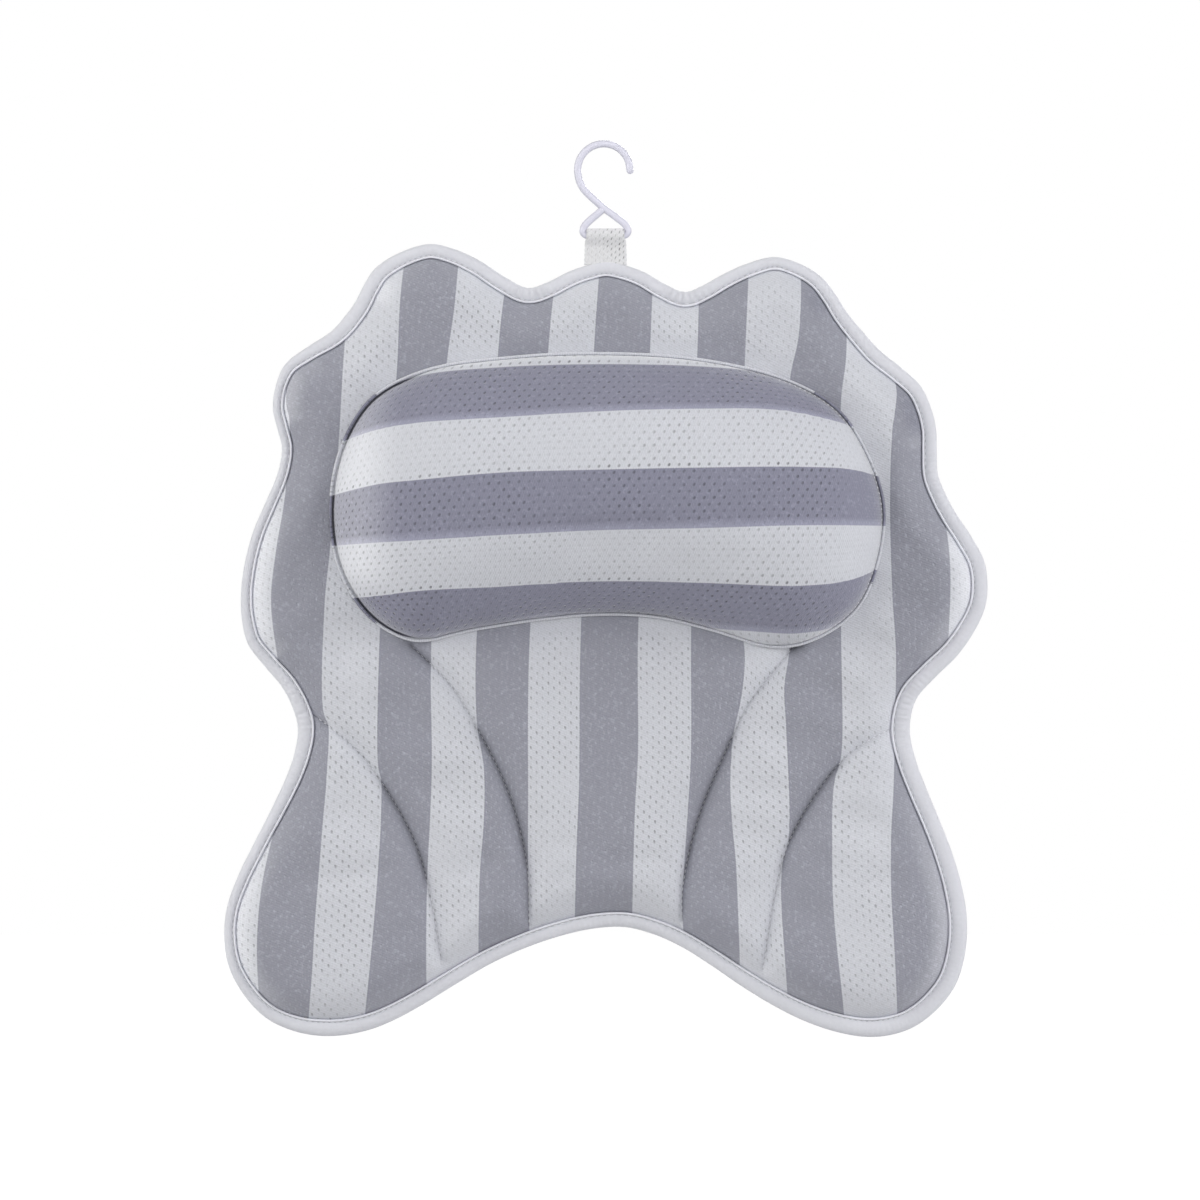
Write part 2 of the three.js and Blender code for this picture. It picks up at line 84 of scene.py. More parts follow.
def plan(pixels):
    """Photograph pixels as plan points (x, z)."""
    pixels = np.array(pixels, float)
    return np.stack([pixels[:, 0] - ORIGIN_PX[0], ORIGIN_PX[1] - pixels[:, 1]], 1) * PIXEL


def add_object(name, data):
    made = bpy.data.objects.new(name, data)
    scene.collection.objects.link(made)
    return made


# The camera looks straight at the front, from far away
CAMERA_DISTANCE = 4.0
FAR_END = 40
front_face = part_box("front_cover")[0].y
view_centre = plan([(PHOTO_SIDE / 2, PHOTO_SIDE / 2)])[0]
camera_data = bpy.data.cameras.new("camera")
camera_data.sensor_fit = "HORIZONTAL"
camera_data.lens = camera_data.sensor_width * CAMERA_DISTANCE / (PHOTO_SIDE * PIXEL)
camera_data.clip_end = FAR_END
camera = add_object("camera", camera_data)
camera.location = (view_centre[0], front_face - CAMERA_DISTANCE, view_centre[1])
camera.rotation_euler = (math.radians(90), 0, 0)
scene.camera = camera

# Sizes of the pad. Its crown and its seams' shoulders are shares of its swelling.
COVER = 1.8 * MM
FRONT_CROWN = 9 * MM
BACK_CROWN = 6 * MM
CROWN_REACH = 16 * MM
CROWN_POWER = 0.75
COVER_GAP = 0.3 * MM
RIM_INSET = 1.2 * MM
FULLNESS = 0.9 * MM
FULLNESS_REACH = 22 * MM
FULL_BESIDE_CUSHION = (0, 14 * MM)
FULL_BESIDE_CUP = (12 * MM, 26 * MM)
SEAM_SHOULDER = 9.5 * MM
SEAM_DEPTH = 0.52
SEAM_ON_WHITE = 0.75
STITCH_DEPTH = 0.17
STITCH_ON_WHITE = 0.2
STITCH_WIDTH = 0.65 * MM
FOLD_DEPTH = 0.35 * MM
FOLD_WIDTH = 1.6 * MM

# Unevenness of the covers and tufts of the fillings: height, length and seed
FRONT_RIPPLE = (0.25 * MM, 46 * MM, 3)
BACK_RIPPLE = (0.2 * MM, 60 * MM, 5)
TUFTS = (0.35 * MM, 9 * MM, 17)

# Sizes of the head cushion. Its left end runs between two x.
FLANGE_WIDE = 2.7 * MM
FLANGE_NARROW = 1.7 * MM
CUSHION_REACH = 62 * MM
CUSHION_POWER = 0.6
GROOVE_HEIGHT = 0.7 * MM
LEFT_END = (-85 * MM, -105 * MM)

# Spacing of the points along the outlines and the seams
PAD_SPACING = 1.5 * MM
CUSHION_SPACING = 1.3 * MM
SEAM_SPACING = 1.6 * MM

# Pixels on the rim, with the tape's width in millimetres there
TAPE_WIDTHS = [
    (605, 263, 7.2), (525, 287, 7.8), (430, 244, 7.2), (345, 322, 8.2), (277, 385, 5.2), (283, 450, 5.2),
    (241, 590, 5.6), (270, 670, 7.0), (296, 720, 8.4), (262, 830, 6.2), (226, 925, 5.6), (243, 1000, 6.6),
    (320, 1037, 8.4), (440, 995, 7.8), (520, 950, 7.4), (605, 928, 7.4), (690, 950, 7.6), (760, 998, 8.4),
    (880, 1037, 9.6), (955, 990, 9.4), (968, 930, 9.2), (940, 820, 8.8), (911, 730, 9.4), (945, 665, 8.8),
    (988, 590, 8.0), (943, 480, 7.6), (937, 410, 7.2), (880, 350, 7.8), (780, 256, 6.4), (690, 290, 7.6),
]

# Pixels of the quilting seams, from the top down: first the two inner ones
SEAMS_PX = [
    [(411, 646), (449, 683), (479, 732), (510, 797), (527, 866), (529, 926)],
    [(795, 645), (751, 701), (728, 747), (698, 820), (683, 887), (682, 921)],
    [(313, 715), (355, 748), (383, 785), (415, 843), (432, 904), (441, 960)],
    [(892, 728), (852, 752), (819, 790), (789, 843), (775, 895), (763, 970)],
]

# Pixels of a faint fold beside the cushion
FOLD_PX = [(845, 640), (870, 637), (893, 650), (925, 672)]

# Pixels along the edges of the pad's upright grey stripes, from the left
PAD_STRIPES_PX = [
    [(286, 360), (286, 405), (289, 420), (284, 500), (276, 550), (271, 600), (277, 660), (284, 740),
     (275, 820), (264, 872), (260, 898), (257, 940), (258, 1000)],
    [(345, 330), (342, 387), (339, 438), (330, 550), (325, 600), (323, 712), (328, 726), (327, 769),
     (323, 821), (319, 872), (315, 924), (312, 976), (307, 1030)],
    [(405, 250), (400, 303), (397, 370), (386, 500), (379, 660), (378, 766), (381, 781), (381, 821),
     (378, 872), (374, 924), (369, 976), (364, 1020)],
    [(459, 250), (455, 303), (446, 370), (438, 500), (431, 660), (432, 760), (430, 820), (427, 880),
     (426, 1000)],
    [(507, 270), (500, 330), (488, 500), (476, 650), (477, 725), (484, 769), (484, 821), (480, 872),
     (478, 965)],
    [(556, 270), (550, 330), (538, 500), (529, 660), (528, 800), (528, 870), (530, 960)],
    [(600, 260), (595, 330), (586, 500), (580, 660), (579, 780), (576, 860), (574, 950)],
    [(654, 260), (651, 330), (644, 500), (638, 640), (638, 755), (635, 810), (632, 930)],
    [(700, 280), (698, 330), (694, 500), (691, 640), (691, 755), (688, 810), (684, 870), (682, 905),
     (685, 950)],
    [(749, 270), (746, 331), (744, 400), (745, 500), (742, 620), (745, 660), (741, 700), (733, 737),
     (730, 783), (732, 823), (736, 864), (740, 960)],
    [(801, 250), (801, 302), (798, 340), (790, 379), (788, 500), (790, 645), (784, 688), (786, 728),
     (789, 838), (783, 862), (781, 891), (782, 920), (788, 1000)],
    [(845, 290), (847, 336), (846, 360), (841, 400), (842, 500), (841, 630), (841, 758), (834, 783),
     (832, 864), (834, 918), (845, 1020)],
    [(894, 370), (897, 392), (892, 436), (890, 500), (892, 590), (896, 660), (894, 783), (891, 837),
     (891, 891), (894, 945), (898, 1020)],
    [(930, 380), (938, 460), (950, 560), (949, 640), (946, 760), (948, 900), (950, 1000)],
]

# Pixels along the edges of the cushion's level grey stripes, from the top
CUSHION_STRIPES_PX = [
    [(340, 408), (380, 390), (420, 376), (500, 368), (600, 365), (700, 367), (760, 372), (810, 382),
     (860, 404)],
    [(340, 442), (380, 430), (420, 424), (500, 419), (600, 413), (700, 410), (780, 411), (840, 423),
     (880, 436)],
    [(330, 496), (380, 485), (420, 481), (500, 474), (600, 471), (700, 469), (800, 468), (850, 470),
     (885, 478)],
    [(330, 546), (380, 543), (420, 541), (500, 536), (600, 531), (700, 529), (800, 526), (885, 526)],
    [(330, 600), (380, 596), (420, 591), (500, 587), (600, 582), (700, 583), (800, 586), (850, 580),
     (885, 566)],
    [(330, 646), (366, 629), (380, 627), (400, 635), (427, 638), (491, 628), (536, 618), (598, 615),
     (650, 620), (700, 627), (750, 631), (800, 633), (840, 624), (870, 599)],
]


def spline(points, closed=False, steps=24):
    """A centripetal curve through the points, finely sampled."""
    if closed:
        around = np.concatenate([points[-1:], points, points[:2]])
    else:
        around = np.concatenate([2 * points[:1] - points[1:2], points, 2 * points[-1:] - points[-2:-1]])
    p0, p1, p2, p3 = around[:-3], around[1:-2], around[2:-1], around[3:]
    gaps = [np.sqrt(np.linalg.norm(b - a, axis=1)) for a, b in ((p0, p1), (p1, p2), (p2, p3))]
    t1, t2 = gaps[0], gaps[0] + gaps[1]
    t3 = t2 + gaps[2]
    t = t1[:, None] + gaps[1][:, None] * np.arange(steps) / steps

    def between(a, b, start, end):
        share = ((t - start[:, None]) / (end - start)[:, None])[..., None]
        return a * (1 - share) + b * share

    zero = np.zeros(len(t1))
    a1 = between(p0[:, None], p1[:, None], zero, t1)
    a2 = between(p1[:, None], p2[:, None], t1, t2)
    a3 = between(p2[:, None], p3[:, None], t2, t3)
    b1 = between(a1, a2, zero, t2)
    b2 = between(a2, a3, t1, t3)
    found = between(b1, b2, t1, t2).reshape(-1, points.shape[1])
    return found if closed else np.concatenate([found, points[-1:]])


def plan_tree(points):
    tree = kdtree.KDTree(len(points))
    for i, (x, z) in enumerate(points):
        tree.insert((x, z, 0), i)
    tree.balance()
    return tree


def nearest_points(points, places):
    """The index of the plan point nearest to each place."""
    tree = plan_tree(points)
    return np.array([tree.find((x, z, 0))[1] for x, z in places], int)


class Line:
    """Evenly spaced plan points along a curve, with the way to their left."""

    def __init__(self, points, spacing, closed=False):
        dense = spline(np.array(points, float), closed)
        if closed:
            dense = np.concatenate([dense, dense[:1]])
        along = np.concatenate([[0], np.cumsum(np.linalg.norm(np.diff(dense, axis=0), axis=1))])
        self.length, self.closed = along[-1], closed
        count = max(int(round(self.length / spacing)), 2)
        self.along = np.linspace(0, self.length, count + 1)[: count if closed else None]
        self.points = np.stack([np.interp(self.along, along, dense[:, i]) for i in (0, 1)], 1)
        if closed:
            ahead = np.roll(self.points, -1, 0) - np.roll(self.points, 1, 0)
        else:
            ahead = np.gradient(self.points, axis=0)
        self.ahead = ahead / np.linalg.norm(ahead, axis=1)[:, None]
        self.left = np.stack([-self.ahead[:, 1], self.ahead[:, 0]], 1)

    def beside(self, inset):
        """The line's points, moved to their left by one distance, or each by its own."""
        return self.points + self.left * np.broadcast_to(inset, len(self.points))[:, None]

    def bend(self, reach):
        """The sine of a closed line's turn to the left, between so many points before and after each."""
        before, after = np.roll(self.ahead, reach, 0), np.roll(self.ahead, -reach, 0)
        return after[:, 1] * before[:, 0] - after[:, 0] * before[:, 1]

    def nearest(self, places):
        """Each place's distance to the line, where along it that is, and its side, +1 for left."""
        index = nearest_points(self.points, places)
        count = len(self.points)
        found = None
        for shift in (-1, 0):
            start = index + shift
            start = start % count if self.closed else np.clip(start, 0, count - 2)
            end = (start + 1) % count
            step = self.points[end] - self.points[start]
            offset = places - self.points[start]
            square = (step**2).sum(1)
            share = np.clip((offset * step).sum(1) / square, 0, 1)
            away = offset - share[:, None] * step
            side = np.sign(step[:, 0] * away[:, 1] - step[:, 1] * away[:, 0])
            here = np.stack([np.hypot(*away.T), self.along[start] + share * np.sqrt(square), side], 1)
            found = here if found is None else np.where((here[:, 0] < found[:, 0])[:, None], here, found)
        return found.T

    def inside(self, places):
        """How far the places within a closed line are from it, and 0 for the others."""
        away, _, side = self.nearest(places)
        return np.where(side > 0, away, 0)

    def outside(self, places):
        """How far the places beyond a closed line are from it, and 0 for the others."""
        away, _, side = self.nearest(places)
        return np.where(side > 0, 0, away)


def holds(corners, places):
    """Which places lie inside a closed polygon."""
    inside = np.zeros(len(places), bool)
    for (x0, z0), (x1, z1) in zip(corners, np.roll(corners, -1, 0)):
        crosses = (z0 > places[:, 1]) != (z1 > places[:, 1])
        if z0 != z1:
            inside ^= crosses & (places[:, 0] < (x1 - x0) * (places[:, 1] - z0) / (z1 - z0) + x0)
    return inside


def vertices_of(mesh):
    found = np.empty(len(mesh.vertices) * 3)
    mesh.vertices.foreach_get("co", found)
    return found.reshape(-1, 3)


LEVEL_MARGIN = 0.02 * MM
RING_DIGITS = 5


def level_ring(node, *levels):
    """The plan points that a node's vertices share at all these depths, sorted round their middle."""
    corners = vertices_of(frame["nodes"][node].data)
    found = []
    for level in levels:
        at = corners[np.abs(corners[:, 1] - level) < LEVEL_MARGIN][:, [0, 2]]
        found.append({tuple(point) for point in np.round(at, RING_DIGITS)})
    ring = np.array(sorted(set.intersection(*found)))
    x, z = (ring - (ring.min(0) + ring.max(0)) / 2).T
    return ring[np.argsort(np.arctan2(z, x))]


# Outlines, read from the frame. Both run anticlockwise, so inside is to the left.
tape_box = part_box("edge_binding")
pad_plane = (tape_box[0].y + tape_box[1].y) / 2
pad_line = Line(level_ring("edge_binding", pad_plane), PAD_SPACING, closed=True)
cushion_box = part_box("cushion_cover")
cushion_base = cushion_box[1].y
cushion_crown = cushion_base - cushion_box[0].y
cushion_ring = level_ring("cushion_cover", cushion_base, cushion_base - COVER)
cushion_line = Line(cushion_ring, CUSHION_SPACING, closed=True)
seams = [Line(plan(seam), SEAM_SPACING) for seam in SEAMS_PX]
fold = Line(plan(FOLD_PX), SEAM_SPACING)

back_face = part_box("back_cover")[1].y
cup_names = sorted(name for name in frame["nodes"] if name.startswith("suction_cup_"))
cup_places = [(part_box(name)[0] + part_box(name)[1]) / 2 for name in cup_names]


def swell(share, power):
    rest = 1 - np.clip(share, 0, 1)
    return (1 - rest * rest) ** power


def smoothstep(low, high, value):
    share = np.clip((value - low) / (high - low), 0, 1)
    return share * share * (3 - 2 * share)


width_along = pad_line.nearest(plan([(x, y) for x, y, _ in TAPE_WIDTHS]))[1]
width_values = np.array([width for _, _, width in TAPE_WIDTHS]) * MM


def tape_width(along):
    return np.interp(along, width_along, width_values, period=pad_line.length)


def from_tape(places):
    """How far each place lies inside the inner edge of the tape."""
    depth, along, _ = pad_line.nearest(places)
    return depth - tape_width(along) - COVER_GAP


def from_seams(places):
    return np.min([line.nearest(places)[0] for line in seams], axis=0)


def from_cups(places):
    """How far each place lies from the middle of the nearest cup."""
    return np.min([np.hypot(places[:, 0] - at.x, places[:, 1] - at.z) for at in cup_places], axis=0)


def ripple(places, height, length, seed, waves=10):
    """A smooth, seeded, gentle unevenness, of waves from 0.6 to 1.4 times a length."""
    rng = np.random.default_rng(seed)
    total = np.zeros(len(places))
    for _ in range(waves):
        angle, phase, scale = rng.random() * math.tau, rng.random() * math.tau, 0.6 + 0.8 * rng.random()
        way = np.array([math.cos(angle), math.sin(angle)]) * math.tau / (length * scale)
        total += np.sin(places @ way + phase)
    return height * (total / math.sqrt(2 * waves))


STRIPE_WIDTH = 27 * MM
STRIPE_BLUR = 0.35


def bands(lines_px, places, axis):
    """A place's count of stripe edges and its share of the way to the next. axis 0 crosses upright ones."""
    other = 1 - axis
    sign = 1 if axis == 0 else -1
    edges = []
    for line in lines_px:
        curve = spline(plan(line))
        order = np.argsort(curve[:, other])
        edges.append(np.interp(places[:, other], curve[order, other], curve[order, axis]) * sign)
    edges.append(edges[-1] + STRIPE_WIDTH)
    at = places[:, axis] * sign
    found = (at - edges[0]) / STRIPE_WIDTH
    for i, (low, high) in enumerate(zip(edges, edges[1:])):
        found = np.where(at >= low, i + (at - low) / (high - low), found)
    return found


def greyness(places):
    """1 on the pad's grey stripes and 0 on its white ones, with soft borders."""
    return smoothstep(-STRIPE_BLUR, STRIPE_BLUR, np.sin(math.pi * bands(PAD_STRIPES_PX, places, 0)))


def pad_shape(places, grey=0.5):
    """How far the pad has swelled, from 0 to 1, and its fullness, which ends at the tape and at the seams."""
    inset, seam = from_tape(places), from_seams(places)
    share = 1 - np.clip(seam / SEAM_SHOULDER, 0, 1)
    shoulder = SEAM_DEPTH * (SEAM_ON_WHITE + (1 - SEAM_ON_WHITE) * grey)
    stitch = STITCH_DEPTH * (STITCH_ON_WHITE + (1 - STITCH_ON_WHITE) * grey)
    crease = shoulder * share**2 + stitch * np.exp(-((seam / STITCH_WIDTH) ** 2))
    full = swell(np.maximum(np.minimum(inset, seam), 0) / FULLNESS_REACH, 1)
    return swell(inset / CROWN_REACH, CROWN_POWER) * (1 - crease), full


def front_start(places):
    rise, full = pad_shape(places, greyness(places))
    full = full * smoothstep(*FULL_BESIDE_CUSHION, cushion_line.outside(places))
    uneven = ripple(places, *FRONT_RIPPLE) * full
    folded = FOLD_DEPTH * np.exp(-((fold.nearest(places)[0] / FOLD_WIDTH) ** 2)) * full
    return front_face + FRONT_CROWN * (1 - rise) - FULLNESS * full + uneven + folded


def back_start(places):
    rise, full = pad_shape(places)
    uneven = ripple(places, *BACK_RIPPLE) * full * smoothstep(*FULL_BESIDE_CUP, from_cups(places))
    return back_face - BACK_CROWN * (1 - rise) + uneven


# Where the distance to a line goes over to its rounded one
ROUNDED_OFF = (4 * MM, 12 * MM)


def inner_distance(line, places):
    """The distance to a line from inside it, rounded off where two of its sides are equally near."""
    away = line.inside(places)
    spacing = line.length / len(line.points)
    total = np.zeros(len(places))
    for x, z in line.points:
        total += ((places[:, 0] - x) ** 2 + (places[:, 1] - z) ** 2 + 1e-12) ** -2.5
    # Summed along a straight line, the distances to the power of -5 make 4/3 of its own to the power of -4
    soft = (0.75 * spacing * total) ** -0.25
    share = smoothstep(*ROUNDED_OFF, away)
    return away * (1 - share) + soft * share


def at_left_end(places):
    """1 at the cushion's left end, and 0 from there on."""
    return smoothstep(*LEFT_END, places[:, 0])


def flange_width(places):
    return FLANGE_NARROW + (FLANGE_WIDE - FLANGE_NARROW) * at_left_end(places)


def cushion_start(places):
    """The cushion's face: a flat sewn edge, and the dome."""
    depth = inner_distance(cushion_line, places) - flange_width(places)
    dome = (cushion_crown - GROOVE_HEIGHT) * swell(depth / CUSHION_REACH, CUSHION_POWER)
    return cushion_base - GROOVE_HEIGHT - dome


def clear_of(accepted, candidates, gap):
    """The candidates that lie more than a gap from all accepted points."""
    if not len(candidates):
        return candidates
    near = accepted[nearest_points(accepted, candidates)]
    return candidates[np.hypot(*(candidates - near).T) > gap]


# The least distances between plan points, and shares of a row's offset, a ring's step and the grid's pitch
ROW_TO_RIM = 0.8 * MM
ROW_GAP = 0.25 * MM
ROW_GAP_SHARE = 0.45
RING_TO_RIM = 0.5 * MM
RING_STEP = 0.2 * MM
RING_SLACK_SHARE = 0.25
RING_GAP_SHARE = 0.6
GRID_TO_RING_SHARE = 0.4
GRID_GAP_SHARE = 0.62


def scatter(rim, start, rings, rows, pitch, holes=(), base=0):
    """Plan points: the rim and the holes, which come first, rows beside the seams, rings and a grid."""
    edge = rim.beside(start)
    loops = [edge, *holes]
    points = np.concatenate(loops)
    ends = np.cumsum([len(loop) for loop in loops])
    rims = [np.arange(end - len(loop), end) for end, loop in zip(ends, loops)]
    for line in seams:
        for offset in rows:
            row = line.beside(offset)
            row = row[(rim.nearest(row)[0] > start + ROW_TO_RIM) & holds(edge, row)]
            points = np.concatenate([points, clear_of(points, row, ROW_GAP_SHARE * abs(offset) + ROW_GAP)])
    previous = np.full(len(rim.points), start)
    for ring in rings:
        inset = np.maximum(base + ring, start + RING_TO_RIM) * np.ones(len(rim.points))
        places = rim.beside(inset)
        step = np.maximum(inset - previous, RING_STEP)
        fits = rim.nearest(places)[0] > inset - RING_SLACK_SHARE * step
        points = np.concatenate(
            [points, clear_of(points, places[fits], RING_GAP_SHARE * np.minimum(step[fits], pitch))]
        )
        previous = inset
    low, high = rim.points.min(0), rim.points.max(0)
    levels = np.arange(low[1], high[1], pitch * math.sqrt(3) / 2)
    across = np.arange(low[0], high[0], pitch)
    grid = np.array([(x + (pitch / 2 if i % 2 else 0), z) for i, z in enumerate(levels) for x in across])
    grid = grid[holds(edge, grid)]
    grid = grid[rim.nearest(grid)[0] > previous.max() + GRID_TO_RING_SHARE * pitch]
    for hole in holes:
        grid = grid[~holds(hole, grid)]
    return np.concatenate([points, clear_of(points, grid, GRID_GAP_SHARE * pitch)]), rims


PLAN_MARGIN = 1e-9
LEAST_AREA = 1e-12


def triangulate(points, rims):
    """Triangles over the plan inside the first rim and outside the others, anticlockwise."""
    edges = [(int(a), int(b)) for rim in rims for a, b in zip(rim, np.roll(rim, -1))]
    corners = [Vector(point) for point in points]
    found = geometry.delaunay_2d_cdt(corners, edges, [], 0, PLAN_MARGIN, False)
    if len(found[0]) != len(points):
        raise ValueError("two plan points coincide")
    triangles = np.array(found[2])
    a, b, c = points[triangles].transpose(1, 0, 2)
    area = (b[:, 0] - a[:, 0]) * (c[:, 1] - a[:, 1]) - (b[:, 1] - a[:, 1]) * (c[:, 0] - a[:, 0])
    triangles[area < 0] = triangles[area < 0][:, ::-1]
    middle = (a + b + c) / 3
    kept = holds(points[rims[0]], middle) & (np.abs(area) > LEAST_AREA)
    for rim in rims[1:]:
        kept &= ~holds(points[rim], middle)
    return triangles[kept]


def make_mesh(name, corners, faces, smooth=True):
    mesh = bpy.data.meshes.new(name)
    mesh.from_pydata([tuple(c) for c in corners], [], [tuple(map(int, f)) for f in faces])
    mesh.validate()
    if smooth:
        mesh.polygons.foreach_set("use_smooth", np.ones(len(mesh.polygons), bool))
    mesh.update()
    return add_object(name, mesh)


def tube_faces(count, sides, closed=False, flip=False):
    """The faces of a tube of rows of corners, each once round its section. A closed one has no ends."""
    i, k = (index.ravel() for index in np.indices((count if closed else count - 1, sides)))
    row, after, beside = i * sides, (i + 1) % count * sides, (k + 1) % sides
    faces = np.stack([row + k, after + k, after + beside, row + beside], 1).tolist()
    if not closed:
        faces += [[*range(sides)], [*reversed(range((count - 1) * sides, count * sides))]]
    return [[face[0], *face[:0:-1]] for face in faces] if flip else faces


def tube(name, rows, closed=False, flip=False):
    return make_mesh(name, rows.reshape(-1, 3), tube_faces(*rows.shape[:2], closed, flip))


def circle(sides):
    """The cosines and the sines of evenly spaced angles, once round."""
    turn = np.arange(sides) * math.tau / sides
    return np.cos(turn), np.sin(turn)


def rows_along(points, left, across, depth):
    """Rows of corners beside plan points: how far each lies to the left, and its depth."""
    at = points[:, None] + left[:, None] * across[..., None]
    return np.stack([at[..., 0], depth, at[..., 1]], 2)


def add_map(piece, name, u, v):
    """A UV map from one (u, v) a vertex."""
    mesh = piece.data
    layer = mesh.uv_layers.new(name=name)
    index = np.empty(len(mesh.loops), int)
    mesh.loops.foreach_get("vertex_index", index)
    values = np.stack(np.broadcast_arrays(u, v), 1).astype(np.float32)
    layer.data.foreach_set("uv", values[index].ravel())


def sheet_corners(points, heights):
    return np.stack([points[:, 0], heights, points[:, 1]], 1)


# Simulated swelling of the covers
SIM_FRAMES = 20
SIM_PITCH = 4.5 * MM
SIM_NEAREST = 10
PINNED = 0.5 * MM
SWELLS_FROM = (0, 3 * MM)
CLOTH = {
    "quality": 6, "mass": 0.3, "tension_stiffness": 15, "compression_stiffness": 6, "shear_stiffness": 6,
    "bending_stiffness": 1.5, "use_pressure": True, "uniform_pressure_force": 4, "shrink_min": -0.02,
}


class Cover:
    """A cover's face, by its starting height over the plan and its swelling from there, towards -Y or +Y.

    A coarse copy is simulated as cloth under pressure, pinned where it is sewn down, and other places take
    the movement of its nearest points."""

    def __init__(self, name, sheet, start, sewn, facing, most):
        self.start, self.sewn, self.facing = start, sewn, facing
        self.tree = None
        self.simulate(name, *sheet, most)

    def simulate(self, name, points, rims, most):
        corners = sheet_corners(points, self.start(points))
        piece = make_mesh(name, corners, triangulate(points, rims)[:, :: -self.facing])
        pins = piece.vertex_groups.new(name="sewn")
        pins.add(np.flatnonzero(self.sewn(points) < PINNED).tolist(), 1.0, "REPLACE")
        modifier = piece.modifiers.new("cloth", "CLOTH")
        for key, value in CLOTH.items():
            setattr(modifier.settings, key, value)
        modifier.settings.vertex_group_mass = pins.name
        modifier.settings.effector_weights.gravity = 0
        modifier.collision_settings.use_collision = False
        modifier.point_cache.frame_start, modifier.point_cache.frame_end = 1, SIM_FRAMES
        for number in range(1, SIM_FRAMES + 1):
            scene.frame_set(number)
        result = vertices_of(piece.evaluated_get(bpy.context.evaluated_depsgraph_get()).data)
        bpy.data.objects.remove(piece)
        scene.frame_set(1)
        self.moved = np.clip((result[:, 1] - corners[:, 1]) * self.facing, 0, most)
        self.tree = plan_tree(points)

    def swelling(self, places):
        if self.tree is None:
            return np.zeros(len(places))
        near = [self.tree.find_n((x, z, 0), SIM_NEAREST) for x, z in places]
        index = np.array([[i for _, i, _ in found] for found in near])
        away = np.array([[d for _, _, d in found] for found in near])
        weight = np.exp(-((away / SIM_PITCH) ** 2)) + 1e-9
        moved = (self.moved[index] * weight).sum(1) / weight.sum(1)
        return moved * smoothstep(*SWELLS_FROM, self.sewn(places))

    def height(self, places):
        return self.start(places) + self.facing * self.swelling(places)

    def shell(self, name, face, lining, behind=np.inf):
        """A closed piece and its plan places: a fine face, a coarser lining behind it, and joined rims."""
        (points, rims), (inner_points, inner_rims) = face, lining
        count = len(points)
        faces = [*triangulate(*face)[:, :: -self.facing], *(triangulate(*lining)[:, :: self.facing] + count)]
        for rim, inner_rim in zip(rims, inner_rims):
            for a, b, c, d in zip(rim, np.roll(rim, -1), np.roll(inner_rim, -1) + count, inner_rim + count):
                faces.append((b, a, d, c) if self.facing < 0 else (a, b, c, d))
        inner_heights = np.minimum(self.height(inner_points) - self.facing * COVER, behind)
        corners = [sheet_corners(points, self.height(points)), sheet_corners(inner_points, inner_heights)]
        return make_mesh(name, np.concatenate(corners), faces), np.concatenate([points, inner_points])


# Materials


class Value:
    """An output of a node tree, for sums that are written as such."""

    def __init__(self, nodes, socket):
        self.nodes, self.socket = nodes, socket

    def __add__(self, other):
        return self.nodes.math("ADD", self, other)

    def __sub__(self, other):
        return self.nodes.math("SUBTRACT", self, other)

    def __rsub__(self, other):
        return self.nodes.math("SUBTRACT", other, self)

    def __mul__(self, other):
        return self.nodes.math("MULTIPLY", self, other)

    def __truediv__(self, other):
        return self.nodes.math("DIVIDE", self, other)


class Nodes:
    """A node tree, made one call at a time."""

    def __init__(self, tree):
        self.tree = tree

    def node(self, kind, *inputs, out=0, **settings):
        """An output of a new node, from its inputs in their order, with None for one that stays as it is."""
        made = self.tree.nodes.new(f"ShaderNode{kind}")
        for key, value in settings.items():
            setattr(made, key, value)
        for socket, value in zip(made.inputs, inputs):
            if value is not None:
                self.set(socket, value)
        return Value(self, made.outputs[out])

    def set(self, socket, value):
        if isinstance(value, Value):
            self.tree.links.new(value.socket, socket)
        else:
            socket.default_value = value

    def math(self, operation, *values):
        return self.node("Math", *values, operation=operation)

    def step(self, value, low, high, to_low=0, to_high=1):
        """A smooth step of a value between two limits."""
        return self.node("MapRange", value, low, high, to_low, to_high, interpolation_type="SMOOTHSTEP")


class Shader(Nodes):
    """A material, and the places on its object."""

    def __init__(self, name, **surface):
        self.material = bpy.data.materials.new(name)
        self.material.use_nodes = True
        super().__init__(self.material.node_tree)
        self.place = self.node("TexCoord", out="Object")
        for key, value in surface.items():
            self.surface(key.replace("_", " "), value)

    def surface(self, name, value):
        self.set(self.tree.nodes["Principled BSDF"].inputs[name], value)

    def uv(self, name):
        """The two values of a UV map."""
        both = self.node("UVMap", uv_map=name)
        return [self.node("SeparateXYZ", both, out=axis) for axis in "XY"]

    def noise(self, scale, detail=2, roughness=0.5, place=None):
        return self.node("TexNoise", place or self.place, None, scale, detail, roughness)

    def paint(self, colour, level):
        """Colours the surface, scaled by a level."""
        self.surface("Base Color", self.node("VectorMath", colour, None, None, level, operation="SCALE"))

    def bump(self, height, distance, strength):
        self.surface("Normal", self.node("Bump", strength, distance, None, height))


# The UV maps. The fabric's counts stripes and pores, the second tells an inset and how strong the painted
# shade of a groove or seam crease is there, and the third how strong a painted highlight is and how far its
# pores are shut.
FABRIC_MAP = "fabric"
SHADE_MAP = "seam"
HIGHLIGHT_AND_SHUT_MAP = "bloom"
COLUMNS = 9
PORE_PITCH = 4.95 * MM
# Keeps the count of stripes above 0
STRIPE_OFFSET = 40
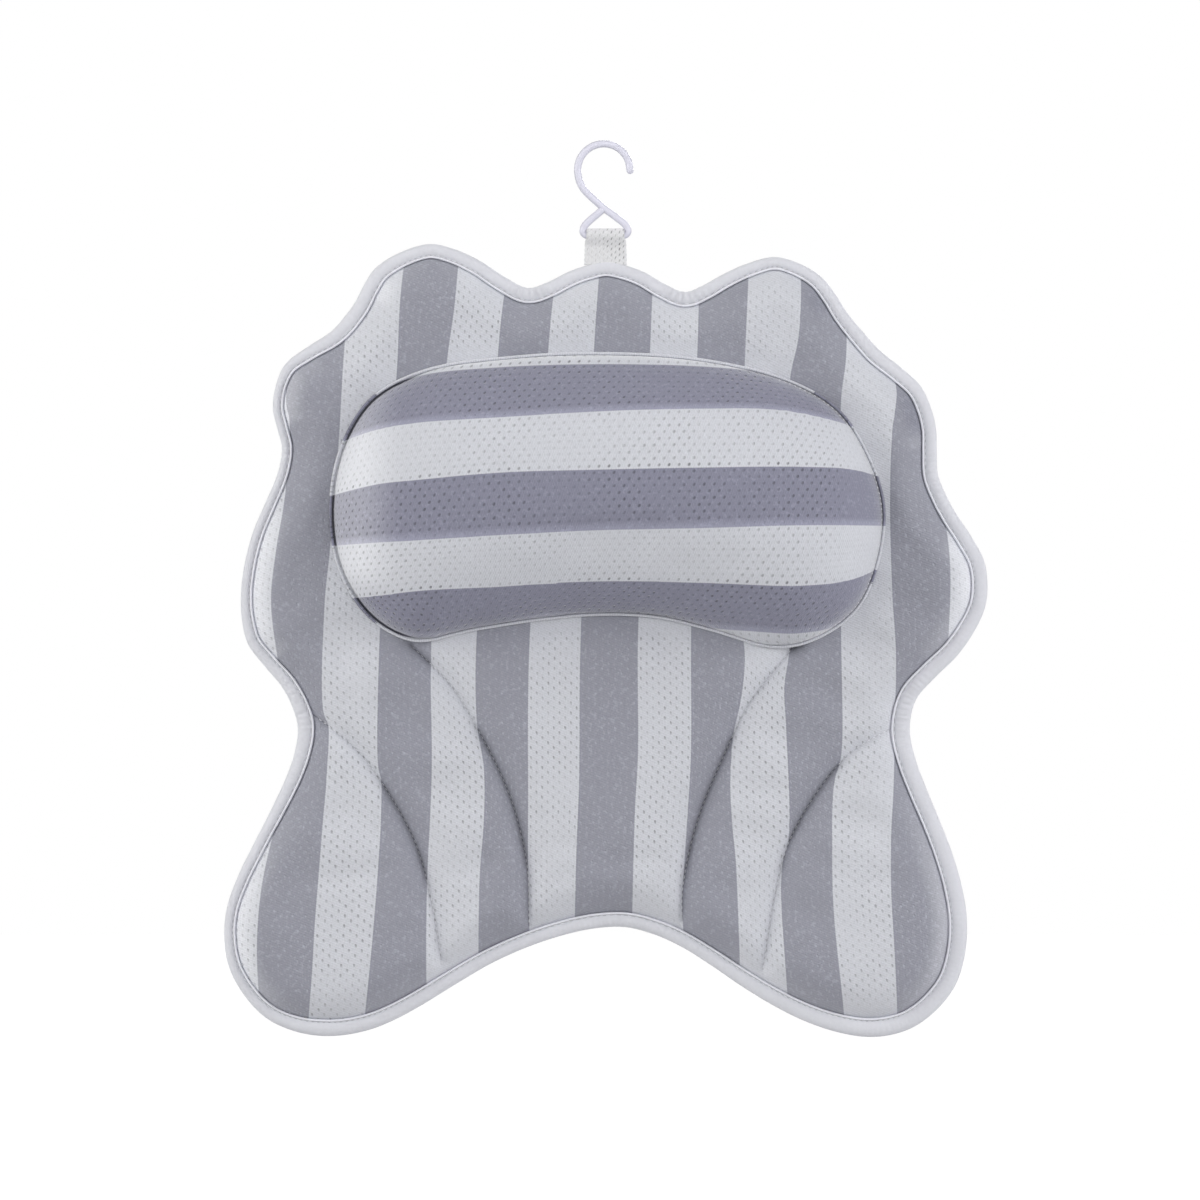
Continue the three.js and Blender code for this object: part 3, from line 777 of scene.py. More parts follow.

# Limits of smooth steps: a pore's rim and floor in shares of its size, the noise for patches of fainter and
# deeper pores, the border between white and grey, a stripe's last column of pores, a grey one's foot and the
# flecks of its yarn, both sides of the painted shade in a groove, and how deep the tab's pores are on the
# left and on the right, painted as a lit left and a shaded right
PORE_SIDE = (1.3, 0.5)
PATCHES = (0.34, 0.6, 0.5, 1.15)
BORDER = (0.492, 0.508)
LAST_COLUMN = (0.875, 0.895)
FOOT = (0.84, 0.97)
FLECKS = (0.56, 0.7)
GROOVE_SHADE_OUTSIDE = (1.25, 1.6)
GROOVE_SHADE_INSIDE = (3, 2.2)
PAINTED_SIDE_PORES = (0.25, 1.2)


def mesh_fabric(
    name, white, white_pore, grey=None, grey_pore=0, wide=0.22, long=0.2, slant=0.35, faintest=0.65,
    edge=0, painted_groove_shade=0, bloom=0, side=0,
):
    """Knitted spacer mesh, whose stripes each have their columns of pores. Without a grey it is all white.

    wide, long and slant are a pore's sizes in its cell, and faintest is the depth of the faintest one. edge
    deepens a white stripe's last column of pores, fades a grey one's and makes its foot paler, and side is
    how far from the middle the pores go from faint on the left to deep on the right, a painted lit left and
    shaded right."""
    s = Shader(name, Roughness=0.82, Sheen_Weight=0.9, Sheen_Roughness=0.35)
    u, v = s.uv(FABRIC_MAP)
    columns = u * COLUMNS
    column = s.math("FLOOR", columns)
    rows = v + s.math("FLOORED_MODULO", column, 2) * 0.5
    across = s.math("FRACT", columns) - 0.5
    along = s.math("FRACT", rows) - 0.5
    far_across = across / wide
    far_along = (along + across * slant) / long
    distance = s.math("SQRT", far_across * far_across + far_along * far_along)
    cell = s.node("CombineXYZ", column, s.math("FLOOR", rows))
    chance = s.node("TexWhiteNoise", cell, noise_dimensions="3D")
    depth = s.step(distance, *PORE_SIDE) * s.step(chance, 0, 1, faintest, 1) * s.step(s.noise(26), *PATCHES)
    rib = s.math("SINE", columns * math.tau)
    purl = s.math("SINE", (v * 4 - columns) * math.tau)
    knit = s.math("SINE", (v * 4 + columns) * math.tau) + purl * 0.5
    slender = s.node("VectorMath", s.place, (1, 1, 0.45), operation="MULTIPLY")
    grain = s.noise(1500, roughness=0.6, place=slender)
    tone = s.noise(14, 3) * 0.07 + (grain - 0.25) * 0.32 + knit * 0.03
    if grey:
        is_grey = s.step(s.math("PINGPONG", u + 0.5, 1), *BORDER)
        # Painted highlight: the third map's first value adds white to the cloth, and its second shuts the
        # pores
        highlight_share, closed = s.uv(HIGHLIGHT_AND_SHUT_MAP)
        depth = depth * (1 - closed)
        painted_light = highlight_share * bloom
        # A mix of colours has its share and its two colours as inputs 0, 6 and 7, and output 2
        base = s.node("Mix", is_grey, *[None] * 5, (*white, 1), (*grey, 1), out=2, data_type="RGBA")
        base = s.node("VectorMath", base, s.node("CombineXYZ", painted_light, painted_light, painted_light), operation="ADD")
        last = s.step(is_grey, 0, 1, 1 + edge, 1 - 0.7 * edge)
        shade = depth * s.step(is_grey, 0, 1, white_pore, grey_pore)
        shade = shade * s.step(s.math("FRACT", u), *LAST_COLUMN, 1, last)
        tone = tone + s.step(s.noise(480, 1), *FLECKS) * is_grey * 0.17
        tone = tone + s.step(s.math("FRACT", u), *FOOT) * is_grey * (0.33 * edge)
    else:
        base, shade = white, depth * white_pore
    # Painted shade: pores faint on the lit left and deep on the shaded right
    if side:
        shade = shade * s.step(u, STRIPE_OFFSET - side, STRIPE_OFFSET + side, *PAINTED_SIDE_PORES)
    level = tone + 0.885 - shade
    # Painted shade in grooves and seam creases, weaker on the white stripes
    if painted_groove_shade:
        inset, strength = s.uv(SHADE_MAP)
        painted_shade = s.step(inset, *GROOVE_SHADE_OUTSIDE) * s.step(inset, *GROOVE_SHADE_INSIDE)
        painted_shade = painted_shade * strength * s.step(is_grey, 0, 1, 0.3, 1)
        level = level * (1 - painted_shade * painted_groove_shade)
    s.paint(base, level)
    s.bump(rib * 0.08 - depth + knit * 0.13 + grain * 0.5, 0.35 * MM, 0.75)
    return s.material


# The tape across its width: its lip gets a painted highlight, the sewn line beside it painted shade, and the
# band is plain
WARP_PITCH = 0.55 * MM
WEFT_PITCH = 0.6 * MM
LIP_END = (2.3 * MM, 2.8 * MM)
SEWN_END = (3.5 * MM, 4.0 * MM)
LIP_HIGHLIGHT = 1.24
SEWN_SHADE = 0.76


def woven_tape(name, colour):
    """Plain woven tape. u and v are metres along and across it."""
    s = Shader(name, Roughness=0.78, Sheen_Weight=0.2, Sheen_Roughness=0.5)
    u, v = s.uv(FABRIC_MAP)
    weave = s.math("SINE", v * (math.tau / WARP_PITCH)) * s.math("SINE", u * (math.tau / WEFT_PITCH))
    grain = s.noise(700)
    level = s.noise(35, 3) * 0.07 + grain * 0.08 + weave * 0.02 + 0.925
    # Painted highlight on the lip and painted shade along the sewn line
    level = level * s.step(v, *LIP_END, LIP_HIGHLIGHT, SEWN_SHADE) * s.step(v, *SEWN_END, 1, 1 / SEWN_SHADE)
    s.paint(colour, level)
    s.bump(weave * 0.5 + grain, 0.12 * MM, 0.6)
    return s.material


def thread(name, colour):
    s = Shader(name, Roughness=0.6, Sheen_Weight=0.2)
    twist = s.noise(2500, 1)
    s.paint(colour, twist * 0.2 + 0.88)
    s.bump(twist, 0.05 * MM, 0.5)
    return s.material


def fibre_fill(name, colour):
    s = Shader(name, Roughness=0.95, Sheen_Weight=0.4)
    tuft = s.noise(160, 5, 0.7)
    s.paint(colour, tuft * 0.25 + 0.82)
    s.bump(tuft + s.noise(1400, 3, 0.7) * 0.3, 1.2 * MM, 0.8)
    return s.material


def moulded_plastic(name, colour, roughness, side=0):
    """Moulded plastic. With a side, a rod's sides get painted shade by that share: u is 0 along the middle of
    a rod's front and 1 at its sides.
    """
    s = Shader(name)
    level = s.noise(60, 3) * 0.08 + 0.95
    if side:
        # Painted shade on the rod's sides
        level = level * s.step(s.uv(FABRIC_MAP)[0], 0.45, 0.95, 1, 1 - side)
    s.paint(colour, level)
    fine = s.noise(1200)
    s.surface("Roughness", s.step(fine, 0.3, 0.7, roughness - 0.05, roughness + 0.06))
    s.bump(fine, 0.01 * MM, 0.1)
    return s.material


def clear_vinyl(name, colour):
    s = Shader(name, Transmission_Weight=0.92, IOR=1.45)
    cloud = s.noise(90, 3)
    s.paint(colour, cloud * 0.06 + 0.95)
    s.surface("Roughness", s.step(s.noise(900), 0.3, 0.7, 0.08, 0.16))
    s.bump(cloud, 0.15 * MM, 0.3)
    return s.material


WHITE = (0.652, 0.663, 0.716)
GREY = (0.313, 0.318, 0.372)
CUSHION_GREY = (0.247, 0.249, 0.325)
pad_fabric = mesh_fabric("pad_mesh", WHITE, 0.33, GREY, -0.19, wide=0.19, long=0.17, painted_groove_shade=0.42, bloom=0.15)
cushion_fabric = mesh_fabric(
    "cushion_mesh", WHITE, 0.27, CUSHION_GREY, 0.42,
    wide=0.26, long=0.15, slant=0.18, edge=1, painted_groove_shade=0.8, bloom=0.16,
)
back_fabric = mesh_fabric("back_mesh", WHITE, 0.2)
# The tab's pores are painted faint on its lit left and deep on its shaded right
tab_fabric = mesh_fabric("tab_mesh", (0.8, 0.8, 0.82), 0.55, slant=0.9, side=0.5, faintest=0.4)
tape = woven_tape("woven_tape", (0.75, 0.756, 0.812))
sewing_thread = thread("sewing_thread", (0.82, 0.83, 0.88))
filling = fibre_fill("fibre_fill", (0.82, 0.82, 0.8))
hook_plastic = moulded_plastic("hook_plastic", (0.78, 0.775, 0.89), 0.4, 0.2)
eyelet_plastic = moulded_plastic("eyelet_plastic", (0.7, 0.7, 0.73), 0.42)
vinyl = clear_vinyl("clear_vinyl", (0.86, 0.91, 0.94))


def dress(piece, material, body, nodes=()):
    piece.data.materials.append(material)
    if nodes:
        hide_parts(*nodes)
    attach(piece, body)


# Rings of points beside the rims, rows beside the seams, and the grids' pitches
RIM_RINGS = np.array([-3, -1.2, -0.3, 0.1, 0.4, 0.8, 1.3, 1.9, 2.7, 3.8, 5.2, 7, 9.2, 11.6]) * MM
DOME_RINGS = np.array([-1.9, -1, -0.1, 0.05, 0.2, 0.45, 0.8, 1.3, 2, 3, 4.4, 6.2, 8.4, 11, 14]) * MM
SEAM_ROWS = np.array([0, 0.5, -0.5, 1.1, -1.1, 2.1, -2.1, 3.6, -3.6, 5.6, -5.6]) * MM
LINING_ROWS = np.array([0, 2.3, -2.3, 5.6, -5.6]) * MM
SIM_RINGS = np.array([-4, 0.2, 3, 7]) * MM
SIM_DOME_RINGS = np.array([2.6, 4.5, 7.5, 11]) * MM
SIM_ROWS = np.array([0, 3, -3, 7, -7]) * MM
FRONT_PITCH = 2.3 * MM
BACK_PITCH = 3.6 * MM
DOME_PITCH = 2.2 * MM
LINING_PITCH = 7 * MM
BACK_SIM_PITCH = 1.4 * SIM_PITCH

# How far each cover may swell, and how far from a cup's middle the back is held
FRONT_MOST = 2.5 * MM
BACK_MOST = 1.2 * MM
CUSHION_MOST = 4 * MM
HELD_BY_CUP = 14 * MM


def pad_plan(rings, rows, pitch, holes=()):
    base = tape_width(pad_line.along) + COVER_GAP
    return scatter(pad_line, RIM_INSET, rings, rows, pitch, holes, base)


def sewn_to_tape(places):
    return np.maximum(np.minimum(from_tape(places), from_seams(places)), 0)


def front_sewn(places):
    """How far a place of the front cover is from where it is sewn or held down."""
    return np.minimum(sewn_to_tape(places), cushion_line.outside(places))


def back_sewn(places):
    return np.minimum(sewn_to_tape(places), np.maximum(from_cups(places) - HELD_BY_CUP, 0))


def cushion_sewn(places):
    return np.maximum(cushion_line.inside(places) - flange_width(places), 0)


sheet = pad_plan(SIM_RINGS, SIM_ROWS, SIM_PITCH)
front = Cover("front_cloth", sheet, front_start, front_sewn, -1, FRONT_MOST)
sheet = pad_plan(SIM_RINGS, SIM_ROWS, BACK_SIM_PITCH)
back = Cover("back_cloth", sheet, back_start, back_sewn, 1, BACK_MOST)
sheet = scatter(cushion_line, 0, SIM_DOME_RINGS, [], SIM_PITCH)
dome = Cover("cushion_cloth", sheet, cushion_start, cushion_sewn, -1, CUSHION_MOST)

# The pad's front gets a painted highlight where it turns down to the tape, most where the rim bends outwards
# to the side, and a slight painted shade instead at the upper right. Its pores are drawn shut beside the tape
# and the cushion, but not on the far left.
HIGHLIGHT_FROM_TAPE = (12 * MM, 2 * MM)
HIGHLIGHT_BEND = (-0.15, 0.25)
BEND_REACH = 9
UPPER = (20 * MM, 40 * MM)
RIGHT = (0, 40 * MM)
SHUT_BESIDE = (11 * MM, 3 * MM)
SHUT_FROM_LEFT = (-140 * MM, -105 * MM)
SHUT_SHARE = 0.75


def pad_painted_highlight(places):
    """How strong the painted highlight is, which turns to a slight painted shade at the upper right."""
    round_here = smoothstep(*HIGHLIGHT_BEND, pad_line.bend(BEND_REACH)) * np.abs(pad_line.left[:, 0]) ** 2
    upper_right = smoothstep(*UPPER, places[:, 1]) * smoothstep(*RIGHT, places[:, 0])
    along = pad_line.nearest(places)[1]
    painted_light = np.interp(along, pad_line.along, round_here, period=pad_line.length) * (1 - 1.5 * upper_right)
    return painted_light * smoothstep(*HIGHLIGHT_FROM_TAPE, from_tape(places))


def pad_shut(places):
    """How far the pores are drawn shut."""
    beside = np.minimum(from_tape(places), cushion_line.outside(places))
    return SHUT_SHARE * smoothstep(*SHUT_BESIDE, beside) * smoothstep(*SHUT_FROM_LEFT, places[:, 0])


lining_plan = pad_plan(RIM_RINGS[3::3], LINING_ROWS, LINING_PITCH)
piece, places = front.shell("pad_front", pad_plan(RIM_RINGS, SEAM_ROWS, FRONT_PITCH), lining_plan)
add_map(piece, FABRIC_MAP, bands(PAD_STRIPES_PX, places, 0) + STRIPE_OFFSET, places[:, 1] / PORE_PITCH)
# Painted highlight where the front turns down to the tape, and pores drawn shut beside the tape and the
# cushion
add_map(piece, HIGHLIGHT_AND_SHUT_MAP, pad_painted_highlight(places), pad_shut(places))
# Painted shade along the quilting seams' creases darkens the cloth to 0.5 mm on both sides
add_map(piece, SHADE_MAP, 2.2 + 1.6 * from_seams(places) / MM, 1)
dress(piece, pad_fabric, "pad", ["front_cover"])

# The pad's back, with a hole for each cup's neck
NECK_HOLE = 5.6 * MM
NECK_SIDES = 40
neck_ring = NECK_HOLE * np.stack(circle(NECK_SIDES), 1)
necks = [neck_ring + (at.x, at.z) for at in cup_places]
back_plan = pad_plan(RIM_RINGS[1::2], SEAM_ROWS[::2], BACK_PITCH, necks)
piece, places = back.shell("pad_back", back_plan, pad_plan(RIM_RINGS[3::3], LINING_ROWS, LINING_PITCH, necks))
add_map(piece, FABRIC_MAP, places[:, 0] / STRIPE_WIDTH + STRIPE_OFFSET, places[:, 1] / PORE_PITCH)
dress(piece, back_fabric, "pad", ["back_cover"])


def across_cloth(places):
    """How far each place of the dome lies to the right of its middle, along the cloth."""
    low, high = cushion_line.points.min(0), cushion_line.points.max(0) + MM
    grid_x, grid_z = np.arange(low[0], high[0], MM), np.arange(low[1], high[1], MM)
    at_x, at_z = np.meshgrid(grid_x, grid_z)
    level = dome.height(np.stack([at_x.ravel(), at_z.ravel()], 1)).reshape(at_x.shape)
    right = np.zeros_like(level)
    right[:, 1:] = np.cumsum(np.hypot(np.diff(level, axis=1), MM), axis=1)
    right -= right[:, [len(grid_x) // 2]]
    column, row = (
        np.clip((at - grid[0]) / MM, 0, len(grid) - 1.001) for at, grid in zip(places.T, (grid_x, grid_z))
    )
    i, j = row.astype(int), column.astype(int)
    up, over = row - i, column - j
    below = right[i, j] * (1 - over) + right[i, j + 1] * over
    above = right[i + 1, j] * (1 - over) + right[i + 1, j + 1] * over
    return below * (1 - up) + above * up


# The cushion's sewn groove gets painted shade, strong at the left end, less at the right one and slight
# elsewhere.
# The cloth gets a painted highlight at the left end's upper part, and its pores are drawn shut at the right
# end.
GROOVE_SHADE_LEVEL = 0.12
GROOVE_SHADE_RIGHT = 0.5
GROOVE_SHADE_RIGHT_X = (88 * MM, 104 * MM)
GROOVE_SHADE_RIGHT_Z = (-40 * MM, -20 * MM)
HIGHLIGHT_LEFT_X = (-100 * MM, -124 * MM)
HIGHLIGHT_LEFT_Z = (-50 * MM, -34 * MM)
SHUT_RIGHT = (104 * MM, 126 * MM)
SHUT_RIGHT_SHARE = 0.8


def groove_shade_strength(places):
    right = smoothstep(*GROOVE_SHADE_RIGHT_X, places[:, 0]) * smoothstep(*GROOVE_SHADE_RIGHT_Z, places[:, 1])
    return GROOVE_SHADE_LEVEL + (1 - GROOVE_SHADE_LEVEL) * at_left_end(places) + GROOVE_SHADE_RIGHT * right


def cushion_stripes(places):
    return bands(CUSHION_STRIPES_PX, places, 1) + STRIPE_OFFSET


# The head cushion: a fine dome with its sewn edge
flange = flange_width(cushion_line.points)
piece, places = dome.shell(
    "cushion_skin",
    scatter(cushion_line, 0, DOME_RINGS, [], DOME_PITCH, base=flange),
    scatter(cushion_line, 0, DOME_RINGS[3::3], [], LINING_PITCH, base=flange),
    cushion_base,
)
add_map(piece, FABRIC_MAP, cushion_stripes(places), across_cloth(places) / PORE_PITCH)
# Painted shade in the sewn groove round the cushion
add_map(piece, SHADE_MAP, cushion_line.nearest(places)[0] / MM, groove_shade_strength(places))
# Painted highlight on the upper part of the cushion's left end
painted_light = smoothstep(*HIGHLIGHT_LEFT_X, places[:, 0]) * smoothstep(*HIGHLIGHT_LEFT_Z, places[:, 1])
add_map(piece, HIGHLIGHT_AND_SHUT_MAP, painted_light, SHUT_RIGHT_SHARE * smoothstep(*SHUT_RIGHT, places[:, 0]))
dress(piece, cushion_fabric, "pad", ["cushion_cover"])

# The welt's sizes. It is thinner at the right end, and shows white cloth between two x above and below the
# cushion, where it faces up or down by more than a share. Its left end is grey there. Its outer side, where
# it meets the pad, gets painted shade.
WELT_RADIUS = 0.75 * MM
WELT_INSET = 0.8 * MM
WELT_DEPTH = 0.35 * MM
WELT_SPACING = 1.1 * MM
WELT_SIDES = 12
WELT_THIN_X = (108 * MM, 128 * MM)
WELT_THIN_Z = (-35 * MM, 0)
WELT_THIN_SHARE = 0.35
WELT_PALE = (-114.5 * MM, 104 * MM)
WELT_LEVEL_SHARE = 0.35
PALE_STRIPE = 1.45
WELT_SHADED_SIDE = -0.8
SHADED_INSET = 2


def cushion_welt():
    """A thin welt of the cover's own cloth round the cushion's edge."""
    path = Line(cushion_line.beside(WELT_INSET), WELT_SPACING, closed=True)
    (x, z), inward = path.points.T, path.left[:, 1]
    radius = WELT_RADIUS * (1 - WELT_THIN_SHARE * smoothstep(*WELT_THIN_X, x) * smoothstep(*WELT_THIN_Z, z))
    cos, sin = circle(WELT_SIDES)
    across, depth = radius[:, None] * cos, cushion_base - WELT_DEPTH - radius[:, None] * (1 + sin)
    piece = tube("cushion_welt", rows_along(path.points, path.left, across, depth), closed=True)
    above, below = inward < -WELT_LEVEL_SHARE, inward > WELT_LEVEL_SHARE
    pale = (x > WELT_PALE[0]) & (below | (above & (x < WELT_PALE[1])))
    stripe = np.where(pale, STRIPE_OFFSET + PALE_STRIPE, cushion_stripes(path.points))
    per_row = stripe, path.along / PORE_PITCH, groove_shade_strength(path.points)
    u, v, strength = (np.repeat(values, WELT_SIDES) for values in per_row)
    add_map(piece, FABRIC_MAP, u, v)
    # Painted shade on the welt's outer side, where it meets the pad
    add_map(piece, SHADE_MAP, np.tile(np.where(cos < WELT_SHADED_SIDE, SHADED_INSET, 0), len(x)), strength)
    dress(piece, cushion_fabric, "pad")


cushion_welt()

# The edge tape, folded round the rim, with a groove where it is sewn and a raised lip. The lip's points are
# (distance from the tape's inner edge, height over the middle plane) in millimetres, the band's and the round
# edge's are (share of the band's width, height), and the hollow is that of the two plies.
LIP = np.array([
    (0.1, 2.0), (-0.1, 2.9), (0.15, 3.55), (0.5, 3.8), (0.85, 3.6), (1.1, 3.0), (1.35, 2.7), (1.6, 2.7),
])
BAND = np.array([
    (0.97, 3.0), (0.9, 3.25), (0.78, 3.5), (0.6, 3.6), (0.42, 3.45), (0.26, 3.05), (0.13, 2.4), (0.05, 1.6),
    (0.01, 0.8),
])
HOLLOW_MARGIN = (1.1 * MM, 1.2 * MM)
HOLLOW_HALF = 1.8 * MM

# Gathers: a seeded drift, and pleats that deepen with the bend in the notches and on the humps. They show on
# the tape's faces outside a height, and less near its inner edge, and pull in its round edge.
TAPE_SPACING = 0.9 * MM
TAPE_BEND_REACH = 8
PLEAT_PITCH = 2.6 * MM
DRIFT_SEED = 11
DRIFT_WINDOW = 17
DRIFT_DEPTH = 0.1 * MM
DRIFT_SHARE = 1.5
NOTCH_GAIN = 1.6
HUMP_GAIN = 1.2
PLEAT_DEPTH = 0.07 * MM
NOTCH_PLEAT_DEPTH = 0.7 * MM
HUMP_PLEAT_DEPTH = 0.12 * MM
RIM_PLEAT_DEPTH = 0.12 * MM
GATHERED_FROM = 2.2 * MM
GATHERED_TO = 3.2 * MM
GATHERED_SHARE = 1.3
ROUND_EDGE = 2 * MM

# Pixels where a crease lies across the tape
CREASES_PX = [(288, 687), (300, 713), (263, 393), (527, 290), (684, 297), (911, 722)]
CREASE_DEPTH = 0.5 * MM
CREASE_WIDTH = 0.9 * MM


def tape_section(width):
    """The tape's section: (inset from the rim, distance from the middle plane), once round."""
    lip = np.stack([width - LIP[:, 0] * MM, LIP[:, 1] * MM], 1)
    front = np.concatenate([lip, BAND * (width - LIP[-1, 0] * MM, MM)])
    inner, outer = width - HOLLOW_MARGIN[0], HOLLOW_MARGIN[1]
    hollow = [(inner, -HOLLOW_HALF), (outer, -HOLLOW_HALF), (outer, HOLLOW_HALF), (inner, HOLLOW_HALF)]
    return np.concatenate([front, [(0, 0)], front[::-1] * (1, -1), hollow])


def edge_tape():
    rim = Line(level_ring("edge_binding", pad_plane), TAPE_SPACING, closed=True)
    width = tape_width(rim.along)
    section = np.array([tape_section(each) for each in width])
    inset, away = section[..., 0], section[..., 1]
    bend = rim.bend(TAPE_BEND_REACH)
    notch, hump = np.clip(-bend * NOTCH_GAIN, 0, 1), np.clip(bend * HUMP_GAIN, 0, 1)
    noise = np.random.default_rng(DRIFT_SEED).normal(size=len(rim.points) + DRIFT_WINDOW - 1)
    drift = np.convolve(noise, np.hanning(DRIFT_WINDOW) / 3, "valid")[: len(rim.points)]
    pleats = np.sin(rim.along * math.tau / PLEAT_PITCH + DRIFT_SHARE * drift)
    creases = rim.nearest(plan(CREASES_PX))[1]
    creased = np.exp(-(((rim.along[:, None] - creases) / CREASE_WIDTH) ** 2)).sum(1)
    gathers = DRIFT_DEPTH * drift - CREASE_DEPTH * creased
    gathers += (PLEAT_DEPTH + NOTCH_PLEAT_DEPTH * notch + HUMP_PLEAT_DEPTH * hump) * pleats
    shown = np.clip((np.abs(away) - GATHERED_FROM) / (GATHERED_TO - GATHERED_FROM), 0, 1)
    shown *= np.clip(GATHERED_SHARE - inset / width[:, None], 0, 1)
    away = away + np.sign(away) * shown * gathers[:, None]
    inset = inset + (RIM_PLEAT_DEPTH * notch * pleats)[:, None] * (inset < ROUND_EDGE)
    piece = tube("edge_tape", rows_along(rim.points, rim.left, inset, pad_plane - away), closed=True)
    across = np.cumsum(np.linalg.norm(np.diff(section[0], axis=0, prepend=section[0][:1]), axis=1))
    add_map(piece, FABRIC_MAP, np.repeat(rim.along, len(across)), np.tile(across, len(rim.points)))
    dress(piece, tape, "pad", ["edge_binding"])


edge_tape()

# Stitches: a row's pitch, and the length and radius of each
TAPE_STITCH = (3.2 * MM, 2.3 * MM, 0.2 * MM)
SEAM_STITCH = (3 * MM, 2.2 * MM, 0.22 * MM)
CUSHION_STITCH = (2.8 * MM, 1.2 * MM, 0.3 * MM)
STITCH_SIDES = 6
STITCH_RINGS = 5

# Where their rows lie: outside the tape's inner edge and over the middle plane, from the tape on, and inside
# the cushion's edge, over its cloth and to the right of an x
TAPE_ROW_INSET = 1.5 * MM
TAPE_ROW_HEIGHT = 2.7 * MM
SEAM_ROW_END = 1.6 * MM
CUSHION_ROW_INSET = 2.15 * MM
CUSHION_ROW_HEIGHT = 0.15 * MM
CUSHION_ROW_X = 85 * MM


def stitches(name, places, ahead, depths, sizes):
    """Thread stitches that lie on a surface at these plan places, each along its own direction."""
    _, length, radius = sizes
    cos, sin = circle(STITCH_SIDES)
    share = np.linspace(-1, 1, STITCH_RINGS)[:, None]
    thick = radius * np.sqrt(np.maximum(1 - share**4, 0.04))
    lift = radius * (0.45 - 0.9 * share**2)
    along, side = share * length / 2, thick * cos
    (x, z), (dx, dz), y = (values.T[..., None, None] for values in (places, ahead, depths))
    corners = np.stack([x + dx * along - dz * side, y - lift - thick * sin, z + dz * along + dx * side], 3)
    one = tube_faces(STITCH_RINGS, STITCH_SIDES)
    firsts = range(0, corners[..., 0].size, STITCH_RINGS * STITCH_SIDES)
    faces = [[first + k for k in face] for first in firsts for face in one]
    dress(make_mesh(name, corners.reshape(-1, 3), faces), sewing_thread, "pad")


def spaced(line, inset, pitch):
    """Places at a pitch beside a line, and the line's direction there."""
    at = np.arange(pitch / 2, line.length - pitch / 4, pitch)
    return (
        np.stack([np.interp(at, line.along, values[:, i]) for i in (0, 1)], 1)
        for values in (line.beside(inset), line.ahead)
    )


places, ahead = spaced(pad_line, tape_width(pad_line.along) - TAPE_ROW_INSET, TAPE_STITCH[0])
depths = np.full(len(places), pad_plane - TAPE_ROW_HEIGHT)
stitches("tape_stitches", places, ahead, depths, TAPE_STITCH)
for i, seam in enumerate(seams, 1):
    places, ahead = spaced(seam, 0, SEAM_STITCH[0])
    depth, along, _ = pad_line.nearest(places)
    shown = (depth > tape_width(along) + SEAM_ROW_END) & (cushion_line.outside(places) > 0)
    places, ahead = places[shown], ahead[shown]
    stitches(f"quilt_stitches_{i}", places, ahead, front.height(places), SEAM_STITCH)
places, ahead = spaced(cushion_line, CUSHION_ROW_INSET, CUSHION_STITCH[0])
shown = places[:, 0] > CUSHION_ROW_X
places, ahead = places[shown], ahead[shown]
depths = dome.height(places) - CUSHION_ROW_HEIGHT
stitches("cushion_stitches", places, ahead, depths, CUSHION_STITCH)

# The fillings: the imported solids, made finer, tufted and kept inside the covers
FILL_VOXEL = 4 * MM
FILL_GAP = 0.5 * MM


def filling_of(part, inside):
    piece = add_object(f"{part}_filling", frame["nodes"][f"{part}_fill"].data.copy())
    piece.data.materials.clear()
    remesh = piece.modifiers.new("remesh", "REMESH")
    remesh.mode, remesh.voxel_size, remesh.use_smooth_shade = "VOXEL", FILL_VOXEL, True
    with bpy.context.temp_override(object=piece, active_object=piece, selected_objects=[piece]):
        bpy.ops.object.modifier_apply(modifier="remesh")
    mesh = piece.data
    corners = vertices_of(mesh)
    places = corners[:, [0, 2]]
    nearest, farthest = inside(places)
    tufted = corners[:, 1] + ripple(places, *TUFTS)
    corners[:, 1] = np.clip(tufted, nearest + FILL_GAP, farthest - FILL_GAP)
    mesh.vertices.foreach_set("co", corners.ravel())
    mesh.update()
    dress(piece, filling, "pad", [f"{part}_fill"])


def in_pad(places):
    return front.height(places) + COVER, back.height(places) - COVER


def in_cushion(places):
    return dome.height(places) + COVER, cushion_base


for lobe in ("main", "left_lobe", "right_lobe"):
    filling_of(lobe, in_pad)
filling_of("cushion", in_cushion)

# The suction cups and their eyelets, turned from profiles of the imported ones: (radius, y) in millimetres
CUP_PROFILE = [
    (0.15, -17.2), (6.6, -17.2), (7.6, -16.6), (8, -15.6), (8, -13.9), (4, -13.8), (4, -9.1), (7.3, -8.9),
    (8.6, -8.3), (12, -7.1), (17, -5.2), (21.5, -2.6), (24, -1.1), (25, -0.7), (25, 0), (22.4, 0),
    (20.5, -1.5), (16.5, -3), (12, -4.1), (7.4, -4.5), (0.15, -4.6),
]
EYELET_PROFILE = [
    (4.35, -13.5), (8.4, -13.5), (8.4, -12.7), (5, -12.6), (5, -10.3), (8.4, -10.2), (8.4, -9.4),
    (4.35, -9.4),
]
CUP_ROUNDING = 0.5
EYELET_ROUNDING = 0.3
LATHE_SIDES = 72


def lathe(name, profile, place):
    """A closed solid turned about the Y axis through a place."""
    cos, sin = circle(LATHE_SIDES)
    radius, depth = profile.T[..., None] * MM
    rows = np.broadcast_arrays(place.x + radius * cos, depth, place.z + radius * sin)
    return tube(name, np.stack(rows, 2), closed=True, flip=True)


